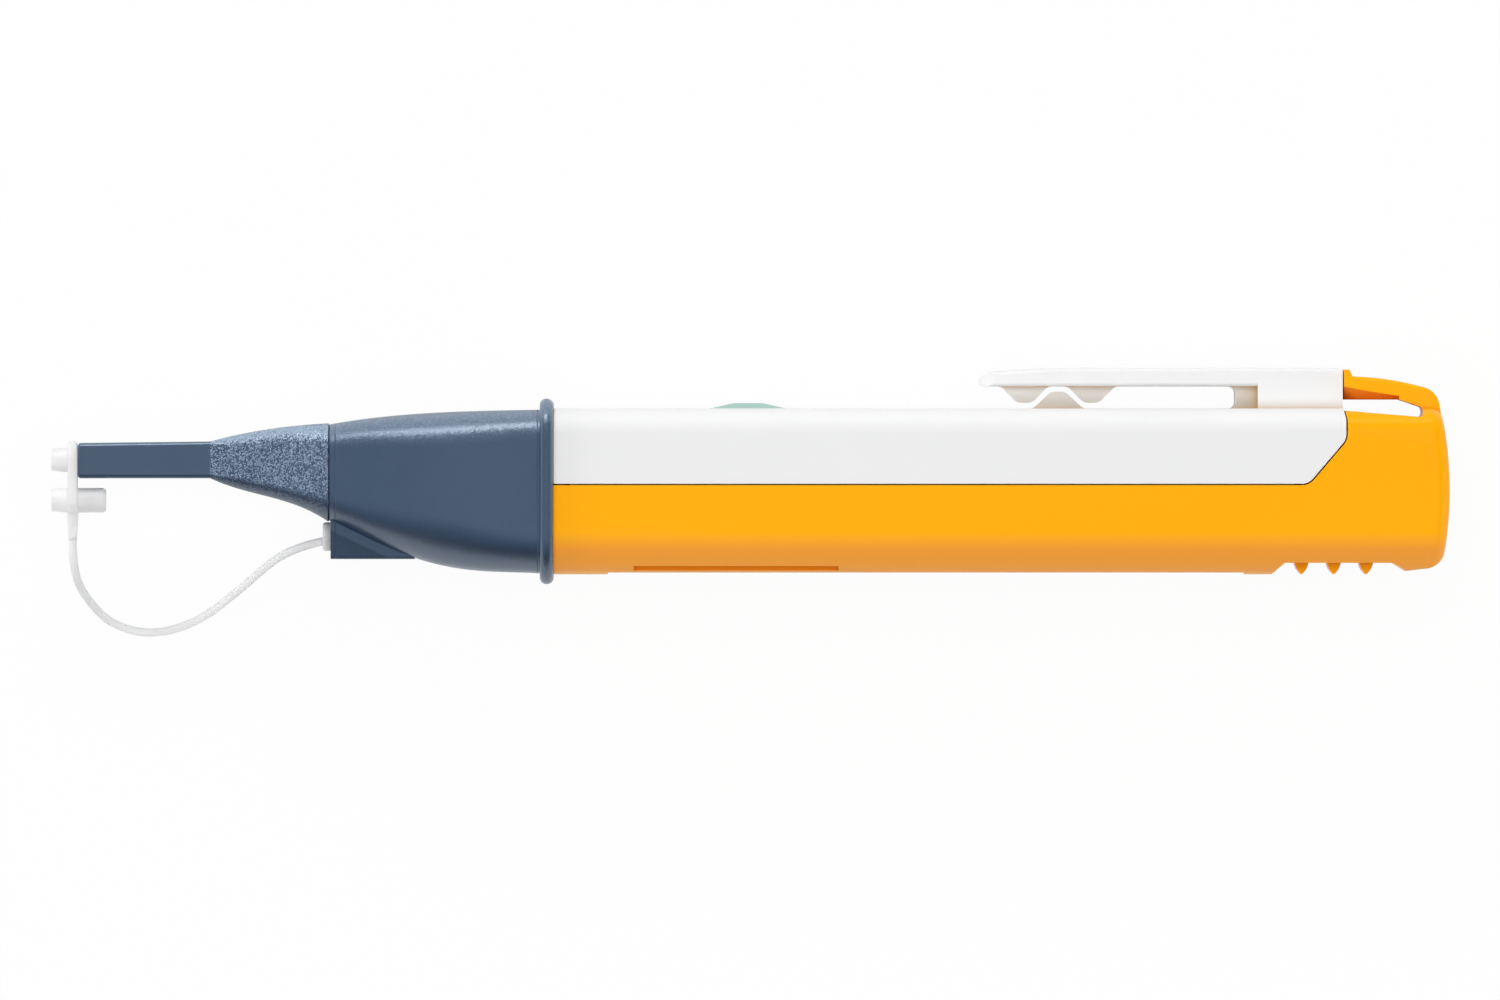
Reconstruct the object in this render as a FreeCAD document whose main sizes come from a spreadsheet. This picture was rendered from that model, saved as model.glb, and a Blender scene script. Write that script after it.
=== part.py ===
import FreeCAD, Part
import math
import os
import re
import Sketcher

# A pen-sized live fibre detector, in millimetres, as an assembly of separate pieces.
# Design axes: x runs from the nose to the tail with zero at the collar's rear face, y from the belly to the
# clip side with zero at the belly, and z across with zero at mid-width. The finished pieces are placed so
# that the detector lies on its side with the clip towards +Y.

Vector = FreeCAD.Vector

# Driving sizes: alias, value, what it is
SIZES = [
    # cells and their tray
    ("cell_diameter", 10.5, "AAA cell"),
    ("cell_length", 44.5, "AAA cell over its nub"),
    ("nub_diameter", 3.8, "positive nub of a cell"),
    ("nub_length", 0.8, "positive nub of a cell"),
    ("cells_ahead", 3.2, "front cell's nub ahead of the collar's rear face"),
    ("cell_gap", 0.15, "clearance round a cell in its tray"),
    ("cell_room", 0.74, "clearance between a cell and the cover's floor"),
    ("tray_roof", 1.2, "tray between cell and board"),
    ("tray_wall", 1.35, "tray beside a cell"),
    ("tray_end", 1.6, "end walls of the tray"),
    ("tray_end_foot", 3.5, "height of the end walls' lower edge"),
    ("tongue_width", 8.0, "screw tongue behind the tray"),
    ("tongue_thickness", 2.0, "screw tongue behind the tray"),
    ("contact_thickness", 0.4, "contact strip"),
    ("contact_width", 6.0, "contact strip"),
    ("contact_height", 6.4, "contact strip's upright part"),
    ("tab_width", 2.0, "solder tab"),
    ("tab_rise", 0.5, "solder tab above the board"),
    ("tab_gap", 0.1, "clearance of a solder tab in its slot"),
    ("leaf_reach", 4.0, "leaf spring from its strip to the rear cell"),
    # board and what it carries
    ("board_thickness", 1.0, "circuit board"),
    ("board_width", 15.0, "circuit board in the body"),
    ("board_nose_width", 11.0, "circuit board in the nose"),
    ("board_setback", 7.3, "board's front end behind the sleeve's front face"),
    ("board_neck", 6.0, "where the board narrows, ahead of the collar's rear face"),
    ("lead_diameter", 0.5, "photodiode lead"),
    ("lead_pitch", 1.27, "photodiode leads"),
    ("lead_overlap", 2.0, "lead soldered under the board"),
    ("head_room", 3.41, "board's top to the shell's roof"),
    ("switch_width", 5.2, "tactile switch"),
    ("switch_height", 1.5, "tactile switch"),
    ("plunger_diameter", 2.6, "switch plunger"),
    ("plunger_rise", 0.4, "switch plunger above its body"),
    ("plunger_depth", 0.4, "switch plunger inside its body"),
    ("plunger_gap", 0.1, "clearance round the plunger"),
    ("led_offset", 4.0, "indicator behind the button's axis"),
    ("led_length", 1.6, "indicator"),
    ("led_width", 3.0, "indicator"),
    ("led_height", 0.8, "indicator"),
    ("buzzer_place", 45.0, "buzzer behind the collar's rear face"),
    ("buzzer_diameter", 9.0, "buzzer"),
    ("buzzer_height", 3.0, "buzzer"),
    ("buzzer_hole", 1.6, "buzzer's sound hole"),
    ("controller_place", 64.0, "microcontroller behind the collar's rear face"),
    ("controller_width", 7.0, "microcontroller"),
    ("controller_height", 1.0, "microcontroller"),
    ("amplifier_place", 10.0, "amplifier ahead of the collar's rear face"),
    ("amplifier_length", 5.0, "amplifier"),
    ("amplifier_width", 4.0, "amplifier"),
    ("amplifier_height", 1.4, "amplifier"),
    ("screw_diameter", 2.0, "chassis screw"),
    ("screw_length", 5.6, "chassis screw under its head"),
    ("screw_head", 3.8, "chassis screw's head"),
    ("screw_head_height", 1.3, "chassis screw's head"),
    ("screw_setback", 2.3, "screw's axis behind the tray"),
    ("screw_gap", 0.1, "clearance round the screw"),
    # body shells
    ("side_room", 2.65, "tray's side to the shell's inner face"),
    ("shell_wall", 1.6, "shell and cover"),
    ("top_corner", 3.0, "body's corners on the clip side"),
    ("bottom_corner", 5.0, "body's corners on the belly"),
    ("parting_height", 11.0, "shell's lower edge above the belly"),
    ("seam_gap", 0.15, "gap between shell and cover"),
    ("seam_round", 0.12, "outer edges along the seams"),
    ("shell_margin", 0.4, "shell's end behind the screw boss"),
    ("slant_run", 4.6, "slanted end of the shell, along the body"),
    ("slant_top", 16.4, "height where the shell's end turns upright"),
    ("slant_round", 1.8, "rounding of the slanted end's corners"),
    ("shell_lean", 0.35, "shell's end leaning forward at its top"),
    ("lean_height", 1.4, "height over which the shell's end leans"),
    ("boss_diameter", 4.0, "screw boss"),
    ("pilot_depth", 2.8, "screw hole in the boss"),
    ("lip_inset", 1.25, "front lips inside the body's outline"),
    ("lip_wall", 0.9, "front lips"),
    ("lip_length", 3.0, "front lips ahead of the collar's rear face"),
    ("lip_grip", 2.0, "front lips back along the walls"),
    ("lip_gap", 0.15, "clearance of the lips in the sleeve"),
    ("skirt_low", 8.6, "height of the skirt's lower edge"),
    ("skirt_root", 2.0, "skirt's hold on the shell above the parting"),
    ("skirt_wall", 1.1, "skirt inside the cover"),
    ("rail_height", 0.9, "rail on the skirt"),
    ("rail_depth", 0.8, "rail on the skirt"),
    ("rail_gap", 0.2, "clearance of skirt and rail in the cover"),
    ("gusset_first", 12.0, "first gusset behind the collar's rear face"),
    ("gusset_pitch", 33.0, "gussets along the shell"),
    ("gusset_wall", 1.2, "gusset"),
    # pocket clip
    ("clip_length", 44.7, "clip from its tip to the shell's end"),
    ("clip_gap", 2.7, "room under the clip"),
    ("clip_thickness", 2.25, "clip"),
    ("clip_width", 10.0, "clip at its root"),
    ("clip_tip_width", 7.6, "clip at its tip"),
    ("clip_root", 10.7, "clip's root block along the body"),
    ("web_length", 2.8, "narrow web ahead of the root block"),
    ("web_width", 6.0, "narrow web"),
    ("web_round", 0.8, "rounding at the web's ends"),
    ("nose_run", 8.6, "clip's thinner front part"),
    ("nose_drop", 0.45, "fall of the clip's front part"),
    ("clip_round", 0.6, "clip's upper edges"),
    ("clip_under", 0.5, "clip's lower edges"),
    ("bump_width", 4.4, "bumps and tooth across the body"),
    ("bump_base", 5.7, "bump where it leaves the clip"),
    ("bump_flat", 1.8, "bump's flat"),
    ("bump_clear", 0.72, "bump above the shell"),
    ("bump_first", 5.65, "first bump behind the clip's tip"),
    ("bump_pitch", 8.15, "second bump behind the first"),
    ("bump_round", 1.2, "rounding of the bumps"),
    ("tooth_base", 6.1, "tooth where it leaves the shell"),
    ("tooth_flat", 1.7, "tooth's flat"),
    ("tooth_height", 2.05, "tooth"),
    ("tooth_round", 1.1, "rounding of the tooth"),
    # push button
    ("button_place", 23.7, "button behind the collar's rear face"),
    ("button_diameter", 9.43, "button"),
    ("button_flat", 3.5, "flat on the button's dome"),
    ("button_rise", 0.67, "button above the shell"),
    ("button_gap", 0.15, "clearance round the button"),
    ("flange_width", 0.9, "button's flange beyond its side"),
    ("flange_thickness", 0.9, "button's flange"),
    ("flange_gap", 0.1, "flange below the shell's roof"),
    # tail and cover
    ("tail_length", 12.64, "tail behind the shell's end"),
    ("tail_inset", 1.15, "tail's upper end ahead of its furthest point"),
    ("tail_foot", 0.72, "tail's lower end ahead of its furthest point"),
    ("tail_foot_height", 2.4, "height where the tail's end meets its lower corner"),
    ("tail_arc", 45.0, "radius of the tail's end"),
    ("tail_heel", 3.2, "tail's lower corner ahead of the furthest point"),
    ("tail_heel_height", 0.68, "height of the tail's lower corner"),
    ("heel_arc", 2.6, "radius of the tail's lower corner"),
    ("tail_round", 1.6, "tail's end edges"),
    ("tail_wall", 3.8, "tail's end wall"),
    ("tail_floor", 3.0, "cover's floor over the grip"),
    ("tail_drop", 1.05, "fall of the tail's top under the bridge"),
    ("grip_start", 21.7, "grip recess ahead of the tail's end"),
    ("grip_stop", 5.3, "grip recess ahead of the tail's end"),
    ("grip_depth", 1.4, "grip recess"),
    ("grip_ramp", 1.6, "slanted ends of the grip recess"),
    ("grip_lift", 0.41, "belly behind the grip"),
    ("ridge_first", 18.0, "first ridge ahead of the tail's end"),
    ("ridge_pitch", 3.93, "ridges along the grip"),
    ("ridge_base", 1.65, "ridge at its root"),
    ("ridge_arc", 2.2, "radius of a ridge's sides"),
    ("ridge_width", 12.0, "ridges across the body"),
    ("belly_start", 6.6, "belly panel behind the collar's rear face"),
    ("belly_stop", 3.2, "belly panel's end ahead of the grip"),
    ("belly_depth", 0.22, "belly panel"),
    ("slot_start", 9.8, "side slot behind the collar's rear face"),
    ("slot_length", 24.9, "side slot"),
    ("slot_low", 0.5, "side slot above the belly"),
    ("slot_height", 0.5, "side slot"),
    ("slot_depth", 0.4, "side slot in from the cover's rounded side"),
    # lanyard bridge
    ("bridge_under", 1.1, "bridge's underside above the body"),
    ("bridge_high", 4.74, "bridge's tab above the body"),
    ("bridge_step", 0.82, "bridge below its tab"),
    ("bridge_tab", 0.65, "bridge's tab along the body"),
    ("bridge_root", 3.55, "bridge's root ahead of the tail's end"),
    ("bridge_flat", 6.7, "bridge's straight underside"),
    ("bridge_shoulder", 2.5, "bridge's rear shoulder above the body"),
    ("bridge_arc", 35.0, "radius of the bridge's top"),
    ("shoulder_arc", 2.6, "radius of the bridge's rear shoulder"),
    ("shoulder_run", 2.81, "start of the rear shoulder ahead of the tail's end"),
    ("shoulder_low", 0.61, "foot of the rear shoulder above the body"),
    ("shoulder_lean", 0.12, "foot of the rear shoulder ahead of the tail's upper end"),
    ("slit_round", 0.85, "radius of the slit's closed end"),
    ("bridge_round", 0.5, "bridge's upper edges"),
    ("bridge_root_width", 13.6, "bridge at its root"),
    ("keel_rise", 1.6, "slanted lower sides at the bridge's free end"),
    ("keel_width", 1.9, "slanted lower sides at the bridge's free end"),
    ("keel_end_rise", 0.6, "slanted lower sides at the bridge's root"),
    # nose sleeve
    ("sleeve_length", 27.3, "sleeve ahead of the collar's rear face"),
    ("sleeve_wall", 1.5, "sleeve"),
    ("front_wall", 1.5, "sleeve's front wall"),
    ("rear_drop", 0.13, "sleeve below the body's top at the collar"),
    ("rear_rise", 0.05, "sleeve above the belly at the collar"),
    ("rear_inset", 0.2, "sleeve inside the body's side at the collar"),
    ("rear_corner", 3.6, "sleeve's clip-side corners at the collar"),
    ("rear_heel", 4.9, "sleeve's belly corners at the collar"),
    ("hip_place", 6.0, "hip section ahead of the collar's rear face"),
    ("hip_drop", 0.23, "hip below the body's top"),
    ("hip_rise", 0.26, "hip above the belly"),
    ("hip_inset", 0.55, "hip inside the body's side"),
    ("hip_corner", 3.8, "sleeve's clip-side corners at the hip"),
    ("hip_heel", 5.3, "sleeve's belly corners at the hip"),
    ("shoulder_place", 12.0, "shoulder section ahead of the collar's rear face"),
    ("shoulder_drop", 0.4, "shoulder below the body's top"),
    ("shoulder_rise", 0.77, "shoulder above the belly"),
    ("shoulder_inset", 1.05, "shoulder inside the body's side"),
    ("shoulder_corner", 4.2, "sleeve's clip-side corners at the shoulder"),
    ("shoulder_heel", 6.2, "sleeve's belly corners at the shoulder"),
    ("throat_place", 20.0, "throat section ahead of the collar's rear face"),
    ("throat_drop", 0.93, "throat below the body's top"),
    ("throat_rise", 3.17, "throat above the belly"),
    ("throat_inset", 2.7, "throat inside the body's side"),
    ("throat_corner", 3.8, "sleeve's clip-side corners at the throat"),
    ("throat_heel", 5.2, "sleeve's belly corners at the throat"),
    ("front_drop", 1.94, "sleeve's front face below the body's top"),
    ("front_rise", 6.5, "sleeve's front face above the belly"),
    ("front_inset", 4.7, "sleeve's front face inside the body's side"),
    ("front_corner", 3.2, "sleeve's clip-side corners at its front face"),
    ("front_heel", 3.6, "sleeve's belly corners at its front face"),
    ("collar_length", 1.63, "collar bead along the body"),
    ("collar_rise", 1.2, "collar bead above the body"),
    ("collar_round", 0.8, "collar bead's edges"),
    ("block_low", 1.84, "tether block above the belly"),
    ("block_length", 10.2, "tether block"),
    ("block_width", 8.0, "tether block"),
    ("block_round", 0.4, "tether block's lower edges"),
    ("block_setback", 0.15, "tether block behind the sleeve's front face"),
    # probe
    ("nose_seam", 0.08, "gap between sleeve and cone"),
    ("nose_step", 0.15, "cone's rear edge outside the sleeve's front"),
    ("cone_length", 14.45, "cone"),
    ("cone_waist", 3.0, "full section ahead of the cone's rear face"),
    ("waist_up", 4.26, "full section above the probe's axis"),
    ("waist_down", 5.92, "full section below the probe's axis"),
    ("waist_half", 5.6, "full section's half width"),
    ("waist_corner", 2.5, "full section's corners"),
    ("cone_neck", 7.6, "slim section ahead of the cone's rear face"),
    ("neck_up", 3.71, "slim section above the probe's axis"),
    ("neck_down", 4.44, "slim section below the probe's axis"),
    ("neck_half", 4.3, "slim section's half width"),
    ("neck_corner", 2.0, "slim section's corners"),
    ("rod_length", 16.15, "probe rod"),
    ("rod_size", 4.5, "probe rod's side"),
    ("rod_draft", 0.18, "fall of the probe rod's upper side to its end"),
    ("rod_corner", 0.55, "probe rod's long edges"),
    ("rod_round", 0.4, "probe rod's front edges"),
    ("bore_diameter", 3.0, "sensor bore"),
    ("spigot_up", 2.6, "cone's spigot above the probe's axis"),
    ("spigot_down", 5.0, "cone's spigot below the probe's axis"),
    ("spigot_half", 4.0, "cone's spigot's half width"),
    ("spigot_corner", 1.5, "cone's spigot"),
    ("spigot_length", 4.2, "cone's spigot"),
    ("spigot_gap", 0.1, "clearance of the spigot in the sleeve"),
    ("sensor_gap", 0.03, "clearance of window and photodiode in the bore"),
    ("window_setback", 4.0, "window behind the probe's end"),
    ("window_thickness", 0.8, "window"),
    ("diode_length", 3.2, "photodiode"),
    # dust cap, anchor and tether
    ("strip_thickness", 1.2, "dust cap's strip"),
    ("strip_half", 2.25, "dust cap's strip, half width"),
    ("strip_gap", 0.05, "strip ahead of the probe's end"),
    ("strip_foot", 5.4, "strip below the probe's axis"),
    ("strip_shoulder", 6.5, "strip's foot below the probe's axis"),
    ("strip_foot_half", 1.0, "strip's foot, half width"),
    ("strip_round", 0.3, "strip's edges"),
    ("plug_pitch", 4.92, "spare plug below the first"),
    ("plug_diameter", 2.84, "plug in the bore"),
    ("plug_depth", 3.5, "plug in the bore"),
    ("plug_lead", 0.4, "plugs' tapered ends"),
    ("stub_length", 2.0, "stubs ahead of the strip"),
    ("stub_diameter", 3.0, "stubs at the strip"),
    ("stub_end", 2.7, "stubs at their free ends"),
    ("spare_length", 3.45, "spare plug behind the strip"),
    ("spare_bore", 1.6, "spare plug's hollow"),
    ("spare_depth", 2.8, "spare plug's hollow"),
    ("root_length", 3.3, "strip's taper down to the tether"),
    ("root_diameter", 1.46, "strip's taper at the strip"),
    ("tether_diameter", 1.0, "tether"),
    ("anchor_height", 4.59, "anchor stud above the belly"),
    ("anchor_head", 3.5, "anchor stud's head"),
    ("anchor_head_length", 1.0, "anchor stud's head"),
    ("anchor_round", 0.35, "anchor stud's head"),
    ("anchor_shank", 2.0, "anchor stud's shank"),
    ("anchor_depth", 3.6, "anchor stud's shank"),
    ("anchor_gap", 0.05, "clearance of the shank in its hole"),
]

# Places that follow from the driving sizes
CELL_HALF = "(cell_diameter / 2 + cell_gap)"
TRAY_HALF = f"({CELL_HALF} + tray_wall)"
HALF = f"({TRAY_HALF} + side_room + shell_wall)"
INNER_HALF = f"({HALF} - shell_wall)"
CELL_AXIS = "(shell_wall + cell_room + cell_diameter / 2)"
BOARD_LOW = f"({CELL_AXIS} + {CELL_HALF} + tray_roof)"
BOARD_TOP = f"({BOARD_LOW} + board_thickness)"
PROBE_AXIS = f"({BOARD_LOW} - lead_diameter / 2)"
ROOF = f"({BOARD_TOP} + head_room)"
HEIGHT = f"({ROOF} + shell_wall)"
COVER_TOP = "(parting_height - seam_gap)"

CELL_END = "(2 * cell_length - cells_ahead)"
TRAY_FRONT = "(-cells_ahead - contact_thickness)"
TRAY_REAR = f"({CELL_END} + leaf_reach + contact_thickness)"
TONGUE = f"({TRAY_REAR} + tray_end)"
SCREW = f"({TONGUE} + screw_setback)"
BOARD_END = f"({SCREW} + screw_setback)"
SHELL_END = f"({SCREW} + boss_diameter / 2 + shell_margin)"
SLANT = f"({SHELL_END} - slant_run)"
TAIL = f"({SHELL_END} + tail_length)"
CLIP_TIP = f"({SHELL_END} - clip_length)"
CLIP_END = f"({SHELL_END} - shell_lean)"
CLIP_LOW = f"({HEIGHT} + clip_gap)"
CLIP_HIGH = f"({CLIP_LOW} + clip_thickness)"
ROOT = f"({SHELL_END} - clip_root)"
WEB = f"({ROOT} - web_length)"
GRIP_START = f"({TAIL} - grip_start)"
GRIP_STOP = f"({TAIL} - grip_stop)"
BRIDGE = f"({CLIP_END} + seam_gap)"
BRIDGE_ROOT = f"({TAIL} - bridge_root)"

SKIRT_OUT = f"({INNER_HALF} - rail_gap)"
SKIRT_IN = f"({SKIRT_OUT} - skirt_wall)"
RAIL_LOW = "(skirt_low + rail_gap)"
RAIL_HIGH = f"({RAIL_LOW} + rail_height)"
RAIL_OUT = f"({SKIRT_OUT} + rail_depth)"

CONE_REAR = "(-sleeve_length - nose_seam)"
ROD_ROOT = f"({CONE_REAR} - cone_length)"
TIP = f"({ROD_ROOT} - rod_length)"
WINDOW = f"({TIP} + window_setback)"
DIODE = f"({WINDOW} + window_thickness)"
LEAD_START = f"({DIODE} + diode_length)"
BOARD_START = "(-sleeve_length + board_setback)"
BLOCK_FRONT = "(-sleeve_length + block_setback)"
STRIP_REAR = f"({TIP} - strip_gap)"
STRIP_FRONT = f"({STRIP_REAR} - strip_thickness)"
STRIP_MIDDLE = f"({STRIP_REAR} - strip_thickness / 2)"
SPARE_AXIS = f"({PROBE_AXIS} - plug_pitch)"
ROOT_TOP = f"({PROBE_AXIS} - strip_shoulder)"

SWITCH_TOP = f"({BOARD_TOP} + switch_height)"
PLUNGER_TOP = f"({SWITCH_TOP} + plunger_rise)"
FLANGE_TOP = f"({ROOF} - flange_gap)"

# Route of the tether's middle line, from the stud on and then back to the strip's root: share of the way
# between the two, drop below the one that it is counted from, and share of the way down to the surface
# that the detector lies on
TETHER_START = (f"({BLOCK_FRONT} - anchor_head_length)", "(anchor_height - tether_diameter / 2)")
TETHER_STOP = (STRIP_MIDDLE, f"({ROOT_TOP} - root_length)")
TETHER_FLOOR = f"({HALF} + collar_rise - tether_diameter / 2)"
TETHER_FROM_STUD = [
    (0.0, 0.0, 0.0),
    (0.095, 0.0, 0.0),
    (0.205, 2.4, 0.22),
    (0.342, 6.2, 0.65),
    (0.506, 10.0, 0.957),
    (0.689, 11.6, 1.0),
]
TETHER_FROM_ROOT = [
    (0.147, 10.35, 0.803),
    (0.049, 7.05, 0.325),
    (0.0, 3.75, 0.0),
    (0.0, 0.0, 0.0),
]
TETHER_BEND = 0.45

doc = FreeCAD.newDocument("FibreDetector")
sheet = doc.addObject("Spreadsheet::Sheet", "Sizes")
for row, (alias, value, note) in enumerate(SIZES, start=1):
    sheet.set(f"A{row}", note)
    sheet.set(f"B{row}", str(value))
    sheet.setAlias(f"B{row}", alias)
doc.recompute()

ALIASES = {alias for alias, value, note in SIZES}
PLANES = {"side": ("XY_Plane", 1), "plan": ("XZ_Plane", -1), "section": ("YZ_Plane", 1)}
pieces = []


def bound(expression):
    """The expression with each size's name pointing into the sheet."""
    def into_sheet(match):
        return f"Sizes.{match[0]}" if match[0] in ALIASES else match[0]

    return re.sub(r"[a-z][a-z_]*", into_sheet, expression)


def number(expression):
    """The expression's present value."""
    return float(sheet.evalExpression(expression))


def new_piece(label):
    """An empty body, placed so that the whole detector lies on its side about the shared origin."""
    body = doc.addObject("PartDesign::Body", label)
    body.Label = label
    body.setExpression("Placement.Base.x", bound(f"-({TIP} + {TAIL}) / 2"))
    body.setExpression("Placement.Base.y", bound(f"-({CLIP_HIGH} - collar_rise) / 2"))
    body.setExpression("Placement.Base.z", bound(f"{HALF} + collar_rise"))
    pieces.append(body)
    return body


def sketch(body, name, plane, place="0", shift=("0", "0")):
    """An empty sketch on one of the body's own planes, moved along that plane's axis and within it."""
    role, sense = PLANES[plane]
    drawing = body.newObject("Sketcher::SketchObject", f"{body.Name}_{name}")
    support = next(item for item in body.Origin.OriginFeatures if item.Role == role)
    drawing.AttachmentSupport = (support, [""])
    drawing.MapMode = "FlatFace"
    drawing.setExpression("AttachmentOffset.Base.x", bound(shift[0]))
    drawing.setExpression("AttachmentOffset.Base.y", bound(shift[1]))
    drawing.setExpression("AttachmentOffset.Base.z", bound(f"{sense} * ({place})"))
    return drawing


def hold(drawing, expression, kind, *where):
    """A dimension in the sketch, bound to the sheet."""
    index = drawing.addConstraint(Sketcher.Constraint(kind, *where, number(expression)))
    drawing.setExpression(f"Constraints[{index}]", bound(expression))


def arc_between(start, stop, radius, turn):
    """The shorter arc from start to stop, with its centre on the left for turn 1 and on the right for -1."""
    chord = stop - start
    rise = math.sqrt(radius ** 2 - chord.Length ** 2 / 4)
    left = Vector(-chord.y, chord.x, 0).normalize()
    centre = (start + stop) / 2 + left * (turn * rise)
    first, last = (start, stop) if turn > 0 else (stop, start)
    angles = [math.atan2(point.y - centre.y, point.x - centre.x) for point in (first, last)]
    return Part.ArcOfCircle(Part.Circle(centre, Vector(0, 0, 1), radius), *angles)


def draw_outline(drawing, corners):
    """A closed loop. A corner is (x, y) before a line, or (x, y, radius, turn) before an arc."""
    points = [Vector(number(corner[0]), number(corner[1]), 0) for corner in corners]
    edges = []
    for start, stop, corner in zip(points, points[1:] + points[:1], corners):
        if len(corner) == 2:
            edges.append((drawing.addGeometry(Part.LineSegment(start, stop), False), 1, 2))
            continue
        radius, turn = corner[2:]
        arc = drawing.addGeometry(arc_between(start, stop, number(radius), turn), False)
        edges.append((arc, 1, 2) if turn > 0 else (arc, 2, 1))
    for (edge, head, tail), (following, next_head, _), corner in zip(edges, edges[1:] + edges[:1], corners):
        drawing.addConstraint(Sketcher.Constraint("Coincident", edge, tail, following, next_head))
        hold(drawing, corner[0], "DistanceX", -1, 1, edge, head)
        hold(drawing, corner[1], "DistanceY", -1, 1, edge, head)
        if len(corner) > 2:
            hold(drawing, corner[2], "Radius", edge)


def draw_circle(drawing, x, y, diameter):
    """A circle held by its centre and its diameter."""
    centre = Vector(number(x), number(y), 0)
    edge = drawing.addGeometry(Part.Circle(centre, Vector(0, 0, 1), number(diameter) / 2), False)
    hold(drawing, x, "DistanceX", -1, 1, edge, 3)
    hold(drawing, y, "DistanceY", -1, 1, edge, 3)
    hold(drawing, diameter, "Diameter", edge)


def box(low_x, high_x, low_y, high_y):
    """A rectangle's corners."""
    return [(low_x, low_y), (high_x, low_y), (high_x, high_y), (low_x, high_y)]


def rounded_box(low, high, half, low_corner, high_corner):
    """A cross-section's corners: rounded, mirrored across the mid-plane."""
    return [
        (f"{low} + {low_corner}", f"-({half})"),
        (f"{high} - ({high_corner})", f"-({half})", high_corner, 1),
        (high, f"-({half}) + {high_corner}"),
        (high, f"{half} - ({high_corner})", high_corner, 1),
        (f"{high} - ({high_corner})", half),
        (f"{low} + {low_corner}", half, low_corner, 1),
        (low, f"{half} - ({low_corner})"),
        (low, f"-({half}) + {low_corner}", low_corner, 1),
    ]


def arch(foot, crown, corner, half, outside, inside, sense):
    """A wall's cross-section round one side of the body, between two insets from the body's outline."""
    outer_corner = f"({corner} - ({outside}))"
    inner_corner = f"({corner} - ({inside}))"
    outer_half = f"({half} - ({outside}))"
    inner_half = f"({half} - ({inside}))"
    outer_crown = f"({crown} - ({sense}) * ({outside}))"
    inner_crown = f"({crown} - ({sense}) * ({inside}))"
    outer_spring = f"({outer_crown} - ({sense}) * {outer_corner})"
    inner_spring = f"({inner_crown} - ({sense}) * {inner_corner})"
    return [
        (foot, f"-{outer_half}"),
        (outer_spring, f"-{outer_half}", outer_corner, sense),
        (outer_crown, f"-{outer_half} + {outer_corner}"),
        (outer_crown, f"{outer_half} - {outer_corner}", outer_corner, sense),
        (outer_spring, outer_half),
        (foot, outer_half),
        (foot, inner_half),
        (inner_spring, inner_half, inner_corner, -sense),
        (inner_crown, f"{inner_half} - {inner_corner}"),
        (inner_crown, f"-{inner_half} + {inner_corner}", inner_corner, -sense),
        (inner_spring, f"-{inner_half}"),
        (foot, f"-{inner_half}"),
    ]


def upper_arch(outside, inside):
    """The shell's wall above the parting."""
    return arch("parting_height", HEIGHT, "top_corner", HALF, outside, inside, 1)


def lower_arch(foot, outside, inside):
    """The cover's wall below the given height."""
    return arch(foot, "0", "bottom_corner", HALF, outside, inside, -1)


def plane_sense(drawing):
    """Which way the sketch's plane faces along its design axis."""
    role = drawing.AttachmentSupport[0][0].Role
    return next(sense for name, sense in PLANES.values() if name == role)


def settle(feature):
    """Recompute, and stop at a feature that fails."""
    doc.recompute()
    assert not {"Invalid", "Error"} & set(feature.State), f"{feature.Name} failed: {feature.State}"
    return feature


def pad(body, drawing, length, toward=1, both=False):
    """Material from the sketch along its plane's axis, to one side or equally to both."""
    sense = plane_sense(drawing)
    feature = body.newObject("PartDesign::Pad", f"{drawing.Name}_pad")
    feature.Profile = drawing
    feature.SideType = "Symmetric" if both else "One side"
    feature.Reversed = toward != sense
    feature.setExpression("Length", bound(length))
    return settle(feature)


def pocket(body, drawing, length, toward=1, both=False):
    """A cut from the sketch along its plane's axis, to one side or equally to both."""
    before = body.Shape.Volume
    sense = plane_sense(drawing)
    feature = body.newObject("PartDesign::Pocket", f"{drawing.Name}_cut")
    feature.Profile = drawing
    feature.SideType = "Symmetric" if both else "One side"
    feature.Reversed = toward == sense
    feature.setExpression("Length", bound(length))
    settle(feature)
    assert body.Shape.Volume < before, f"{feature.Name} removes nothing"
    return feature


def revolve(body, drawing, axis):
    """A full turn of the sketch about its own H_Axis or V_Axis."""
    feature = body.newObject("PartDesign::Revolution", f"{drawing.Name}_turn")
    feature.Profile = drawing
    feature.ReferenceAxis = (drawing, [axis])
    feature.Angle = 360
    return settle(feature)


def loft(body, drawings, kind="AdditiveLoft", ruled=False):
    """A skin through the sketches."""
    feature = body.newObject(f"PartDesign::{kind}", f"{drawings[0].Name}_loft")
    feature.Profile = drawings[0]
    feature.Sections = drawings[1:]
    feature.Ruled = ruled
    return settle(feature)


def round_edges(body, radius, chosen):
    """A fillet on the edges that the test picks, given an edge's middle and its extent."""
    base = body.Tip
    names = [f"Edge{index}" for index, edge in enumerate(base.Shape.Edges, start=1)
             if chosen(edge.CenterOfMass, edge.BoundBox)]
    assert names, f"no edge of {body.Label} to round"
    feature = body.newObject("PartDesign::Fillet", f"{body.Name}_round_{len(body.Group)}")
    feature.Base = (base, names)
    feature.setExpression("Radius", bound(radius))
    return settle(feature)


def near(value, expression):
    """Whether a measured place is at the expression's value."""
    return abs(value - number(expression)) < 0.02


def crossways(extent):
    """Whether an edge runs straight across the body."""
    return extent.ZLength > 1 and extent.XLength < 0.01 and extent.YLength < 0.01


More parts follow.
